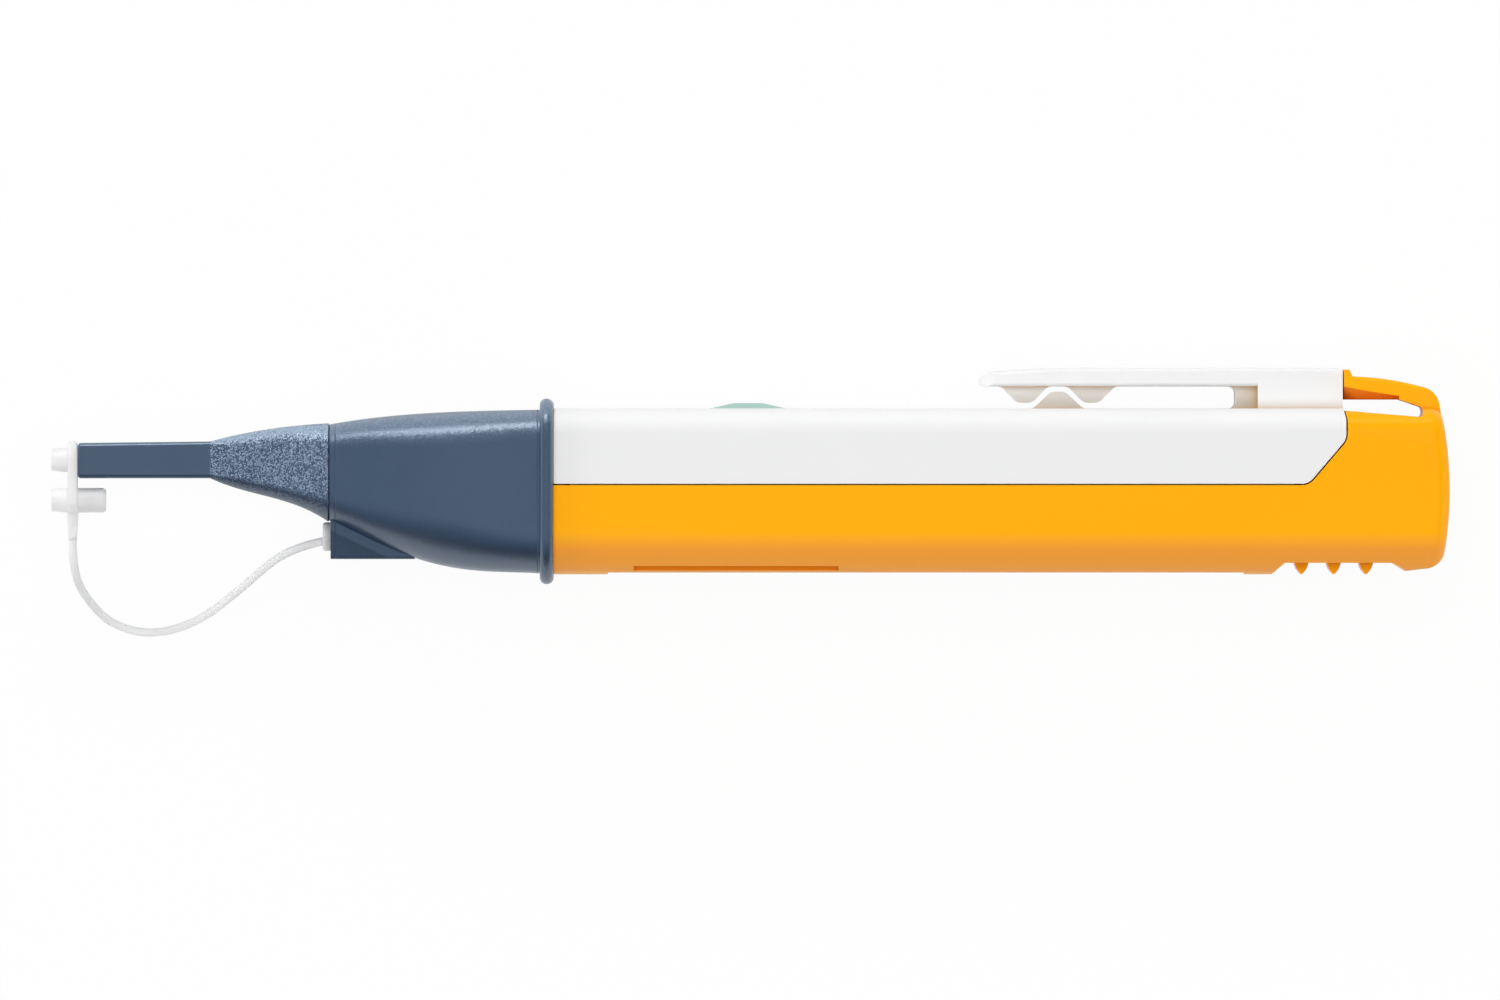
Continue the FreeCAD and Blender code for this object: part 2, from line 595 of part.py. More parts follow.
# Upper housing: channel shell, front lip, cover rails, gussets and screw boss
housing = new_piece("upper_housing")
drawing = sketch(housing, "shell", "section")
draw_outline(drawing, upper_arch("0", "shell_wall"))
pad(housing, drawing, SHELL_END)

drawing = sketch(housing, "slant", "side")
draw_outline(drawing, [
    (SLANT, "parting_height"),
    (SLANT, "parting_height - shell_wall"),
    (f"{SHELL_END} + shell_wall", "parting_height - shell_wall"),
    (f"{SHELL_END} + shell_wall", "slant_top"),
    (SHELL_END, "slant_top"),
])
pocket(housing, drawing, f"4 * {HALF}", both=True)
round_edges(housing, "slant_round", lambda middle, extent: crossways(extent) and (
    near(middle.x, SLANT) or near(middle.x, SHELL_END)) and middle.y < number("slant_top + 1"))

drawing = sketch(housing, "lean", "side")
draw_outline(drawing, [
    (SHELL_END, f"{HEIGHT} - lean_height"),
    (f"{SHELL_END} + shell_wall", f"{HEIGHT} - lean_height"),
    (f"{SHELL_END} + shell_wall", f"{HEIGHT} + shell_wall"),
    (CLIP_END, f"{HEIGHT} + shell_wall"),
    (CLIP_END, HEIGHT),
])
pocket(housing, drawing, f"4 * {HALF}", both=True)

drawing = sketch(housing, "lip", "section", "-lip_length")
draw_outline(drawing, upper_arch("lip_inset", "lip_inset + lip_wall"))
pad(housing, drawing, "lip_length + lip_grip")

drawing = sketch(housing, "skirt", "section", "lip_grip")
SKIRT = [
    ("skirt_low", SKIRT_IN),
    ("parting_height + skirt_root", SKIRT_IN),
    ("parting_height + skirt_root", f"{INNER_HALF} + rail_gap"),
    ("parting_height", f"{INNER_HALF} + rail_gap"),
    ("parting_height", SKIRT_OUT),
    (RAIL_HIGH, SKIRT_OUT),
    (RAIL_HIGH, RAIL_OUT),
    (RAIL_LOW, RAIL_OUT),
    (RAIL_LOW, SKIRT_OUT),
    ("skirt_low", SKIRT_OUT),
]
draw_outline(drawing, SKIRT)
draw_outline(drawing, [(height, f"-({across})") for height, across in SKIRT])
pad(housing, drawing, f"{SLANT} - lip_grip - slant_round")

drawing = sketch(housing, "gussets", "plan", "parting_height")
for place in ("gusset_first", "gusset_first + gusset_pitch", "gusset_first + 2 * gusset_pitch"):
    for low, high in ((TRAY_HALF, f"{INNER_HALF} + rail_gap"),
                      (f"-({INNER_HALF} + rail_gap)", f"-{TRAY_HALF}")):
        draw_outline(drawing, box(f"{place} - gusset_wall / 2", f"{place} + gusset_wall / 2", low, high))
pad(housing, drawing, f"{BOARD_LOW} - parting_height")

drawing = sketch(housing, "boss", "plan", BOARD_TOP)
draw_circle(drawing, SCREW, "0", "boss_diameter")
pad(housing, drawing, "head_room + shell_wall / 2")
drawing = sketch(housing, "pilot", "plan", BOARD_TOP)
draw_circle(drawing, SCREW, "0", "screw_diameter + screw_gap / 2")
pocket(housing, drawing, "pilot_depth")

drawing = sketch(housing, "button_hole", "plan", ROOF)
draw_circle(drawing, "button_place", "0", "button_diameter + 2 * button_gap")
pocket(housing, drawing, "2 * shell_wall")

# Pocket clip, moulded with the housing: plate, root block, narrow web, bumps and tooth
drawing = sketch(housing, "clip", "side")
draw_outline(drawing, [
    (f"{CLIP_TIP} + clip_thickness / 3", CLIP_LOW),
    (ROOT, CLIP_LOW),
    (ROOT, f"{HEIGHT} - shell_wall / 2"),
    (CLIP_END, f"{HEIGHT} - shell_wall / 2"),
    (CLIP_END, f"{CLIP_HIGH} - nose_drop"),
    (f"{CLIP_END} - nose_drop", CLIP_HIGH),
    (f"{CLIP_TIP} + nose_run", CLIP_HIGH),
    (f"{CLIP_TIP} + 2 * clip_thickness / 3", f"{CLIP_HIGH} - nose_drop", "clip_thickness", 1),
    (CLIP_TIP, f"{CLIP_LOW} + clip_thickness / 3", "clip_thickness / 3", 1),
])
pad(housing, drawing, "clip_width", both=True)

drawing = sketch(housing, "clip_taper", "plan", CLIP_LOW)
TAPER = [
    (f"{CLIP_TIP} - clip_thickness", "clip_tip_width / 4"),
    (CLIP_TIP, "clip_tip_width / 4", "clip_tip_width / 2", -1),
    (f"{CLIP_TIP} + clip_tip_width / 4", "clip_tip_width / 2"),
    (WEB, "clip_width / 2"),
    (WEB, "clip_width"),
    (f"{CLIP_TIP} - clip_thickness", "clip_width"),
]
draw_outline(drawing, TAPER)
draw_outline(drawing, [(along, f"-({across})") if len(rest) == 0 else
                       (along, f"-({across})", rest[0], -rest[1]) for along, across, *rest in TAPER])
pocket(housing, drawing, "2 * clip_thickness")
round_edges(housing, "clip_round", lambda middle, extent: (
    extent.XLength > 5 and middle.y > number(f"{CLIP_HIGH} - nose_drop")
    and abs(middle.z) > number("clip_tip_width / 2 - 0.1")))

round_edges(housing, "clip_under", lambda middle, extent: (
    extent.XLength > 1 and near(middle.y, CLIP_LOW) and extent.YLength < 0.01
    and abs(middle.z) > number("clip_tip_width / 2 - 0.1")))

drawing = sketch(housing, "web", "side")
draw_outline(drawing, box(WEB, f"{ROOT} + web_round", f"{HEIGHT} - shell_wall / 2",
                          f"{CLIP_LOW} + clip_thickness / 2"))
pad(housing, drawing, "web_width", both=True)
round_edges(housing, "web_round", lambda middle, extent: crossways(extent) and near(middle.x, WEB) and (
    near(middle.y, HEIGHT) or near(middle.y, CLIP_LOW)))

BUMP_LOW = f"({HEIGHT} + bump_clear)"
BUMP_TOP = f"({CLIP_LOW} + clip_thickness / 2)"
FIRST_BUMP = f"({CLIP_TIP} + bump_first)"
SECOND_BUMP = f"({FIRST_BUMP} + bump_pitch)"
TOOTH = f"({FIRST_BUMP} + bump_pitch / 2)"
drawing = sketch(housing, "bumps", "side")
for place in (FIRST_BUMP, SECOND_BUMP):
    draw_outline(drawing, [
        (f"{place} - bump_base / 2", BUMP_TOP),
        (f"{place} - bump_base / 2", CLIP_LOW),
        (f"{place} - bump_flat / 2", BUMP_LOW),
        (f"{place} + bump_flat / 2", BUMP_LOW),
        (f"{place} + bump_base / 2", CLIP_LOW),
        (f"{place} + bump_base / 2", BUMP_TOP),
    ])
pad(housing, drawing, "bump_width", both=True)
round_edges(housing, "bump_round", lambda middle, extent: (
    crossways(extent) and (near(middle.y, BUMP_LOW) or near(middle.y, CLIP_LOW))
    and middle.x < number(f"{SECOND_BUMP} + bump_base")))

drawing = sketch(housing, "tooth", "side")
draw_outline(drawing, [
    (f"{TOOTH} - tooth_base / 2", HEIGHT),
    (f"{TOOTH} - tooth_base / 2", f"{HEIGHT} - shell_wall / 2"),
    (f"{TOOTH} + tooth_base / 2", f"{HEIGHT} - shell_wall / 2"),
    (f"{TOOTH} + tooth_base / 2", HEIGHT),
    (f"{TOOTH} + tooth_flat / 2", f"{HEIGHT} + tooth_height"),
    (f"{TOOTH} - tooth_flat / 2", f"{HEIGHT} + tooth_height"),
])
pad(housing, drawing, "bump_width", both=True)
round_edges(housing, "tooth_round", lambda middle, extent: crossways(extent) and abs(
    middle.x - number(TOOTH)) < number("tooth_base / 2 + 0.1") and middle.y < number(f"{CLIP_LOW} - 0.1")
    and extent.YMin > number(f"{HEIGHT} - 0.1"))
round_edges(housing, "seam_round", lambda middle, extent: near(abs(middle.z), HALF)
            and extent.YMin < number("slant_top + 1")
            and extent.YMax < number(f"{HEIGHT} - top_corner + 0.1"))

# Battery cover: trough, tail, grip, rail grooves and front lip
cover = new_piece("battery_cover")
drawing = sketch(cover, "body", "section")
draw_outline(drawing, rounded_box("0", HEIGHT, HALF, "bottom_corner", "top_corner"))
pad(cover, drawing, TAIL)

drawing = sketch(cover, "tail_end", "side")
draw_outline(drawing, [
    (GRIP_STOP, "-grip_depth"),
    (GRIP_STOP, "grip_lift"),
    (f"{TAIL} - tail_heel", "tail_heel_height", "heel_arc", 1),
    (f"{TAIL} - tail_foot", "tail_foot_height", "tail_arc", 1),
    (f"{TAIL} - tail_inset", HEIGHT),
    (f"{TAIL} - tail_inset", f"{HEIGHT} + shell_wall"),
    (f"{TAIL} + shell_wall", f"{HEIGHT} + shell_wall"),
    (f"{TAIL} + shell_wall", "-grip_depth"),
])
pocket(cover, drawing, f"4 * {HALF}", both=True)
round_edges(cover, "tail_round", lambda middle, extent: (
    middle.x > number(f"{TAIL} - tail_inset - 0.1") and abs(middle.z) > 1))

drawing = sketch(cover, "shell_room", "side")
draw_outline(drawing, [
    ("-shell_wall", COVER_TOP),
    (f"{SLANT} + seam_gap / 2", COVER_TOP),
    (f"{SHELL_END} + seam_gap", "slant_top - seam_gap / 3"),
    (f"{SHELL_END} + seam_gap", f"{HEIGHT} - lean_height"),
    (BRIDGE, HEIGHT),
    (BRIDGE, f"{HEIGHT} + shell_wall"),
    ("-shell_wall", f"{HEIGHT} + shell_wall"),
])
pocket(cover, drawing, f"4 * {HALF}", both=True)
round_edges(cover, "slant_round + seam_gap", lambda middle, extent: (
    crossways(extent) and middle.x > number(f"{SLANT} - 0.1")
    and (near(middle.y, COVER_TOP) or near(middle.y, "slant_top - seam_gap / 3"))))

drawing = sketch(cover, "tail_top", "side")
draw_outline(drawing, [
    (f"{BRIDGE} - seam_gap", f"{HEIGHT} - tail_drop / 4"),
    (BRIDGE_ROOT, f"{HEIGHT} - tail_drop", "slit_round", 1),
    (BRIDGE_ROOT, f"{HEIGHT} + bridge_under / 5"),
    (BRIDGE_ROOT, f"{HEIGHT} + shell_wall"),
    (f"{BRIDGE} - seam_gap", f"{HEIGHT} + shell_wall"),
])
pocket(cover, drawing, f"4 * {HALF}", both=True)

drawing = sketch(cover, "bridge", "side")
draw_outline(drawing, [
    (BRIDGE, f"{HEIGHT} + bridge_under"),
    (f"{BRIDGE} + bridge_flat", f"{HEIGHT} + bridge_under"),
    (BRIDGE_ROOT, f"{HEIGHT} + bridge_under / 5", "slit_round", -1),
    (BRIDGE_ROOT, f"{HEIGHT} - tail_drop"),
    (BRIDGE_ROOT, f"{HEIGHT} - shell_wall"),
    (f"{TAIL} - tail_inset + 2 * shoulder_lean", f"{HEIGHT} - shell_wall"),
    (f"{TAIL} - tail_inset - shoulder_lean", f"{HEIGHT} + shoulder_low", "shoulder_arc", 1),
    (f"{TAIL} - shoulder_run", f"{HEIGHT} + bridge_shoulder", "bridge_arc", 1),
    (f"{BRIDGE} + bridge_tab + bridge_step / 2", f"{HEIGHT} + bridge_high - bridge_step"),
    (f"{BRIDGE} + bridge_tab", f"{HEIGHT} + bridge_high"),
    (BRIDGE, f"{HEIGHT} + bridge_high"),
])
pad(cover, drawing, "bridge_root_width", both=True)

drawing = sketch(cover, "bridge_sides", "plan", f"{HEIGHT} + bridge_under / 2")
for sense in ("1", "-1"):
    draw_outline(drawing, [
        (f"{BRIDGE} - seam_gap", f"{sense} * clip_width / 2"),
        (BRIDGE, f"{sense} * clip_width / 2"),
        (BRIDGE_ROOT, f"{sense} * bridge_root_width / 2"),
        (BRIDGE_ROOT, f"{sense} * bridge_root_width"),
        (f"{BRIDGE} - seam_gap", f"{sense} * bridge_root_width"),
    ])
pocket(cover, drawing, "bridge_high")

for name, sense in (("near", "1"), ("far", "-1")):
    free = sketch(cover, f"keel_free_{name}", "section", BRIDGE)
    draw_outline(free, [
        (f"{HEIGHT} + bridge_under", f"{sense} * (clip_width / 2 - keel_width)"),
        (f"{HEIGHT} + bridge_under + keel_rise", f"{sense} * clip_width / 2"),
        (f"{HEIGHT} + bridge_under", f"{sense} * bridge_root_width / 2"),
    ])
    fixed = sketch(cover, f"keel_fixed_{name}", "section", f"{BRIDGE} + bridge_flat")
    draw_outline(fixed, [
        (f"{HEIGHT} + bridge_under", f"{sense} * (bridge_root_width / 2 - keel_width)"),
        (f"{HEIGHT} + bridge_under + keel_end_rise", f"{sense} * bridge_root_width / 2"),
        (f"{HEIGHT} + bridge_under", f"{sense} * (bridge_root_width / 2 + keel_width)"),
    ])
    loft(cover, [free, fixed], "SubtractiveLoft", ruled=True)
round_edges(cover, "bridge_round", lambda middle, extent: (
    extent.XLength > 2 and extent.YMin > number(f"{HEIGHT} + bridge_under + keel_rise - 0.3")
    and abs(middle.z) > number("clip_width / 2 - 0.1")))

drawing = sketch(cover, "trough", "section", "-shell_wall")
draw_outline(drawing, rounded_box("shell_wall", ROOF, INNER_HALF, "(bottom_corner - shell_wall)",
                                  "(top_corner - shell_wall)"))
pocket(cover, drawing, f"{GRIP_START} - shell_wall / 2 + shell_wall")
drawing = sketch(cover, "tail_room", "section", f"{GRIP_START} - shell_wall")
draw_outline(drawing, rounded_box("tail_floor", f"({HEIGHT} - tail_drop - shell_wall)", INNER_HALF,
                                  "(bottom_corner - shell_wall)", "(top_corner - shell_wall)"))
pocket(cover, drawing, "grip_start + shell_wall - tail_wall")

drawing = sketch(cover, "grip", "side")
draw_outline(drawing, [
    (GRIP_START, "-grip_depth"),
    (GRIP_START, "0"),
    (f"{GRIP_START} + grip_ramp", "grip_depth"),
    (f"{GRIP_STOP} - grip_ramp", "grip_depth"),
    (GRIP_STOP, "grip_lift"),
    (GRIP_STOP, "-grip_depth"),
])
pocket(cover, drawing, f"4 * {HALF}", both=True)
drawing = sketch(cover, "ridges", "side")
for step in range(3):
    ridge = f"({TAIL} - ridge_first + {step} * ridge_pitch)"
    draw_outline(drawing, [
        (f"{ridge} - ridge_base / 2", "grip_depth", "ridge_arc", 1),
        (ridge, "0", "ridge_arc", 1),
        (f"{ridge} + ridge_base / 2", "grip_depth"),
        (f"{ridge} + ridge_base / 2", "(grip_depth + tail_floor) / 2"),
        (f"{ridge} - ridge_base / 2", "(grip_depth + tail_floor) / 2"),
    ])
pad(cover, drawing, "ridge_width", both=True)

drawing = sketch(cover, "belly", "side")
draw_outline(drawing, box("belly_start", f"{GRIP_START} - belly_stop", "-belly_depth", "belly_depth"))
pocket(cover, drawing, f"4 * {HALF}", both=True)

SLOT_SIDE = "(bottom_corner - sqrt(slot_low * (2 * bottom_corner - slot_low)) + slot_depth)"
for name, toward in (("near", 1), ("far", -1)):
    drawing = sketch(cover, f"slot_{name}", "side", f"{toward} * ({HALF} - {SLOT_SIDE})")
    draw_outline(drawing, box("slot_start", "slot_start + slot_length",
                              "slot_low", "slot_low + slot_height"))
    pocket(cover, drawing, f"2 * {SLOT_SIDE}", toward)

drawing = sketch(cover, "rail_grooves", "section", "-shell_wall")
for sense in ("1", "-1"):
    draw_outline(drawing, box(f"{RAIL_LOW} - rail_gap", f"{RAIL_HIGH} + rail_gap",
                              f"{sense} * ({INNER_HALF} - rail_gap)", f"{sense} * ({RAIL_OUT} + rail_gap)"))
pocket(cover, drawing, f"{SLANT} + shell_wall - slant_round + seam_gap")

drawing = sketch(cover, "lip", "section", "-lip_length")
draw_outline(drawing, lower_arch("skirt_low - 2 * seam_gap", "lip_inset", "lip_inset + lip_wall"))
pad(cover, drawing, "lip_length + lip_grip")
round_edges(cover, "seam_round", lambda middle, extent: near(abs(middle.z), HALF)
            and extent.YMin > number(f"{COVER_TOP} - 0.1") and extent.YMin < number("slant_top + 0.5")
            and middle.x < number(f"{SHELL_END} + 2 * seam_gap"))

# Nose sleeve: collar bead, sculpted skin, tether block and hollow
sleeve = new_piece("nose_sleeve")
drawing = sketch(sleeve, "collar", "section", "-collar_length")
draw_outline(drawing, rounded_box("(-collar_rise)", f"({HEIGHT} + collar_rise)", f"({HALF} + collar_rise)",
                                  "(bottom_corner + collar_rise)", "(top_corner + collar_rise)"))
pad(sleeve, drawing, "collar_length")
round_edges(sleeve, "collar_round", lambda middle, extent: extent.XLength < 0.01)

STATIONS = [
    ("rear", "(collar_length / 2)"),
    ("hip", "hip_place"),
    ("shoulder", "shoulder_place"),
    ("throat", "throat_place"),
    ("front", "sleeve_length"),
]
skin = []
for name, ahead in STATIONS:
    drawing = sketch(sleeve, name, "section", f"-{ahead}")
    draw_outline(drawing, rounded_box(f"{name}_rise", f"({HEIGHT} - {name}_drop)",
                                      f"({HALF} - {name}_inset)", f"{name}_heel", f"{name}_corner"))
    skin.append(drawing)
loft(sleeve, skin)

drawing = sketch(sleeve, "block", "side")
draw_outline(drawing, [
    (BLOCK_FRONT, "block_low"),
    (f"{BLOCK_FRONT} + block_length", "block_low"),
    (f"{BLOCK_FRONT} + block_length", "block_low + sleeve_wall / 2"),
    ("-throat_place", "throat_rise + sleeve_wall / 2"),
    (BLOCK_FRONT, "front_rise + sleeve_wall / 2"),
])
pad(sleeve, drawing, "block_width", both=True)
round_edges(sleeve, "block_round", lambda middle, extent: near(middle.y, "block_low") and extent.XLength > 5)

hollow = []
for name, ahead in STATIONS:
    place = {"rear": "0", "front": "-(sleeve_length - front_wall)"}.get(name, f"-{ahead}")
    drawing = sketch(sleeve, f"{name}_hollow", "section", place)
    draw_outline(drawing, rounded_box(
        f"({name}_rise + sleeve_wall)", f"({HEIGHT} - {name}_drop - sleeve_wall)",
        f"({HALF} - {name}_inset - sleeve_wall)", f"({name}_heel - sleeve_wall)",
        f"({name}_corner - sleeve_wall)"))
    hollow.append(drawing)
loft(sleeve, hollow, "SubtractiveLoft")

drawing = sketch(sleeve, "lip_seat", "section")
draw_outline(drawing, rounded_box("(lip_inset - lip_gap)", f"({HEIGHT} - lip_inset + lip_gap)",
                                  f"({HALF} - lip_inset + lip_gap)", "(bottom_corner - lip_inset + lip_gap)",
                                  "(top_corner - lip_inset + lip_gap)"))
pocket(sleeve, drawing, "lip_length + lip_gap", toward=-1)

drawing = sketch(sleeve, "socket", "section", "-sleeve_length")
draw_outline(drawing, rounded_box(f"({PROBE_AXIS} - spigot_down - spigot_gap)",
                                  f"({PROBE_AXIS} + spigot_up + spigot_gap)", "(spigot_half + spigot_gap)",
                                  "(spigot_corner + spigot_gap)", "(spigot_corner + spigot_gap)"))
pocket(sleeve, drawing, "2 * front_wall")

drawing = sketch(sleeve, "anchor_hole", "section", BLOCK_FRONT)
draw_circle(drawing, "anchor_height", "0", "anchor_shank + 2 * anchor_gap")
pocket(sleeve, drawing, "anchor_depth + anchor_gap")
round_edges(sleeve, "seam_round", lambda middle, extent: (
    near(middle.x, "-sleeve_length") and extent.XLength < 0.01 and not (
        abs(middle.z) < number("spigot_half + 0.5")
        and abs(middle.y - number(PROBE_AXIS)) < number("spigot_up + 0.5"))))

# Probe tip: cone, square rod, spigot and sensor bore
probe = new_piece("probe_tip")
PROBE_STATIONS = [
    ("rear", CONE_REAR, "(front_rise - nose_step)", f"({HEIGHT} - front_drop + nose_step)",
     f"({HALF} - front_inset + nose_step)", "(front_heel + nose_step)", "(front_corner + nose_step)"),
    ("waist", f"({CONE_REAR} - cone_waist)", f"({PROBE_AXIS} - waist_down)", f"({PROBE_AXIS} + waist_up)",
     "waist_half", "waist_corner", "waist_corner"),
    ("neck", f"({CONE_REAR} - cone_neck)", f"({PROBE_AXIS} - neck_down)", f"({PROBE_AXIS} + neck_up)",
     "neck_half", "neck_corner", "neck_corner"),
    ("root", ROD_ROOT, f"({PROBE_AXIS} - rod_size / 2)", f"({PROBE_AXIS} + rod_size / 2)", "(rod_size / 2)",
     "rod_corner", "rod_corner"),
]
ROD_END = ("end", TIP, f"({PROBE_AXIS} - rod_size / 2)", f"({PROBE_AXIS} + rod_size / 2 - rod_draft)",
           "(rod_size / 2)", "rod_corner", "rod_corner")


def probe_section(prefix, name, place, *outline):
    """One of the probe's rounded cross-sections."""
    drawing = sketch(probe, f"{prefix}_{name}", "section", place)
    draw_outline(drawing, rounded_box(*outline))
    return drawing


loft(probe, [probe_section("cone", *station) for station in PROBE_STATIONS])
loft(probe, [probe_section("rod", *station) for station in (PROBE_STATIONS[-1], ROD_END)], ruled=True)
round_edges(probe, "rod_round", lambda middle, extent: near(extent.XMin, TIP) and extent.XLength < 0.01)
round_edges(probe, "seam_round", lambda middle, extent: near(extent.XMin, CONE_REAR)
            and extent.XLength < 0.01)

drawing = sketch(probe, "spigot", "section", CONE_REAR)
draw_outline(drawing, rounded_box(f"({PROBE_AXIS} - spigot_down)", f"({PROBE_AXIS} + spigot_up)",
                                  "spigot_half", "spigot_corner", "spigot_corner"))
pad(probe, drawing, "spigot_length")

drawing = sketch(probe, "bore", "section", TIP)
draw_circle(drawing, PROBE_AXIS, "0", "bore_diameter")
pocket(probe, drawing, "rod_length + cone_length + 2 * spigot_length")

# Sensor: window, photodiode and its two leads under the board
window = new_piece("sensor_window")
drawing = sketch(window, "disc", "section", WINDOW)
draw_circle(drawing, PROBE_AXIS, "0", "bore_diameter - 2 * sensor_gap")
pad(window, drawing, "window_thickness")

diode = new_piece("photodiode")
drawing = sketch(diode, "can", "section", DIODE)
draw_circle(drawing, PROBE_AXIS, "0", "bore_diameter - 2 * sensor_gap")
pad(diode, drawing, "diode_length")

leads = new_piece("sensor_leads")
leads.AllowCompound = True
drawing = sketch(leads, "wires", "section", LEAD_START)
for sense in ("1", "-1"):
    draw_circle(drawing, PROBE_AXIS, f"{sense} * lead_pitch / 2", "lead_diameter")
pad(leads, drawing, f"{BOARD_START} + lead_overlap - {LEAD_START}")

# Circuit board and the pieces soldered to it
board = new_piece("circuit_board")
drawing = sketch(board, "outline", "plan", BOARD_LOW)
draw_outline(drawing, [
    (BOARD_START, "-board_nose_width / 2"),
    ("-board_neck", "-board_nose_width / 2"),
    ("-board_neck", "-board_width / 2"),
    (TONGUE, "-board_width / 2"),
    (TONGUE, "-tongue_width / 2"),
    (BOARD_END, "-tongue_width / 2"),
    (BOARD_END, "tongue_width / 2"),
    (TONGUE, "tongue_width / 2"),
    (TONGUE, "board_width / 2"),
    ("-board_neck", "board_width / 2"),
    ("-board_neck", "board_nose_width / 2"),
    (BOARD_START, "board_nose_width / 2"),
])
draw_circle(drawing, SCREW, "0", "screw_diameter + 2 * screw_gap")
for low, high in ((TRAY_FRONT, f"{TRAY_FRONT} + contact_thickness"),
                  (f"{TRAY_REAR} - contact_thickness", TRAY_REAR)):
    draw_outline(drawing, box(f"{low} - tab_gap", f"{high} + tab_gap", "-tab_width / 2 - tab_gap",
                              "tab_width / 2 + tab_gap"))
pad(board, drawing, "board_thickness")

switch = new_piece("switch_body")
drawing = sketch(switch, "case", "plan", BOARD_TOP)
draw_outline(drawing, box("button_place - switch_width / 2", "button_place + switch_width / 2",
                          "-switch_width / 2", "switch_width / 2"))
pad(switch, drawing, "switch_height")
drawing = sketch(switch, "well", "plan", SWITCH_TOP)
draw_circle(drawing, "button_place", "0", "plunger_diameter + 2 * plunger_gap")
pocket(switch, drawing, "2 * plunger_depth + plunger_rise", toward=-1)

plunger = new_piece("switch_plunger")
drawing = sketch(plunger, "pin", "plan", f"{SWITCH_TOP} - plunger_depth")
draw_circle(drawing, "button_place", "0", "plunger_diameter")
pad(plunger, drawing, "plunger_depth + plunger_rise")

led = new_piece("indicator_led")
drawing = sketch(led, "lens", "plan", BOARD_TOP)
draw_outline(drawing, box("button_place + led_offset - led_length / 2",
                          "button_place + led_offset + led_length / 2", "-led_width / 2", "led_width / 2"))
pad(led, drawing, "led_height")

buzzer = new_piece("buzzer")
drawing = sketch(buzzer, "case", "plan", BOARD_TOP)
draw_circle(drawing, "buzzer_place", "0", "buzzer_diameter")
pad(buzzer, drawing, "buzzer_height")
drawing = sketch(buzzer, "hole", "plan", f"{BOARD_TOP} + buzzer_height")
draw_circle(drawing, "buzzer_place", "0", "buzzer_hole")
pocket(buzzer, drawing, "buzzer_height / 2", toward=-1)

controller = new_piece("microcontroller")
drawing = sketch(controller, "chip", "plan", BOARD_TOP)
draw_outline(drawing, box("controller_place - controller_width / 2",
                          "controller_place + controller_width / 2",
                          "-controller_width / 2", "controller_width / 2"))
pad(controller, drawing, "controller_height")

amplifier = new_piece("amplifier_chip")
drawing = sketch(amplifier, "chip", "plan", BOARD_TOP)
draw_outline(drawing, box("-amplifier_place - amplifier_length / 2",
                          "-amplifier_place + amplifier_length / 2",
                          "-amplifier_width / 2", "amplifier_width / 2"))
pad(amplifier, drawing, "amplifier_height")

# Battery tray: cradle open to the belly, end walls and screw tongue
tray = new_piece("battery_tray")
drawing = sketch(tray, "cradle", "section", f"{TRAY_FRONT} - tray_end")
draw_outline(drawing, box(CELL_AXIS, BOARD_LOW, f"-{TRAY_HALF}", TRAY_HALF))
pad(tray, drawing, f"{TONGUE} - {TRAY_FRONT} + tray_end")
drawing = sketch(tray, "channel", "section", TRAY_FRONT)
draw_circle(drawing, CELL_AXIS, "0", f"2 * {CELL_HALF}")
pocket(tray, drawing, f"{TRAY_REAR} - {TRAY_FRONT}")
drawing = sketch(tray, "ends", "side")
for low, high in ((f"{TRAY_FRONT} - tray_end", TRAY_FRONT), (TRAY_REAR, TONGUE)):
    draw_outline(drawing, box(low, high, "tray_end_foot", f"{CELL_AXIS} + tray_end"))
pad(tray, drawing, f"2 * {TRAY_HALF}", both=True)
drawing = sketch(tray, "tongue", "side")
draw_outline(drawing, box(f"{TONGUE} - tray_end / 2", BOARD_END,
                          f"{BOARD_LOW} - tongue_thickness", BOARD_LOW))
pad(tray, drawing, "tongue_width", both=True)
drawing = sketch(tray, "openings", "plan", BOARD_LOW)
draw_circle(drawing, SCREW, "0", "screw_diameter + 2 * screw_gap")
for low, high in ((TRAY_FRONT, f"{TRAY_FRONT} + contact_thickness + tab_gap"),
                  (f"{TRAY_REAR} - contact_thickness - tab_gap", TRAY_REAR)):
    draw_outline(drawing, box(low, high, "-tab_width / 2 - tab_gap", "tab_width / 2 + tab_gap"))
pocket(tray, drawing, "2 * tongue_thickness", toward=-1)

# Cells, turned about their own axis
for label, start in (("battery_front", "(-cells_ahead)"), ("battery_rear", "(cell_length - cells_ahead)")):
    cell = new_piece(label)
    drawing = sketch(cell, "profile", "side", shift=("0", CELL_AXIS))
    draw_outline(drawing, [
        (start, "0"),
        (f"{start} + cell_length", "0"),
        (f"{start} + cell_length", "cell_diameter / 2"),
        (f"{start} + nub_length", "cell_diameter / 2"),
        (f"{start} + nub_length", "nub_diameter / 2"),
        (start, "nub_diameter / 2"),
    ])
    revolve(cell, drawing, "H_Axis")

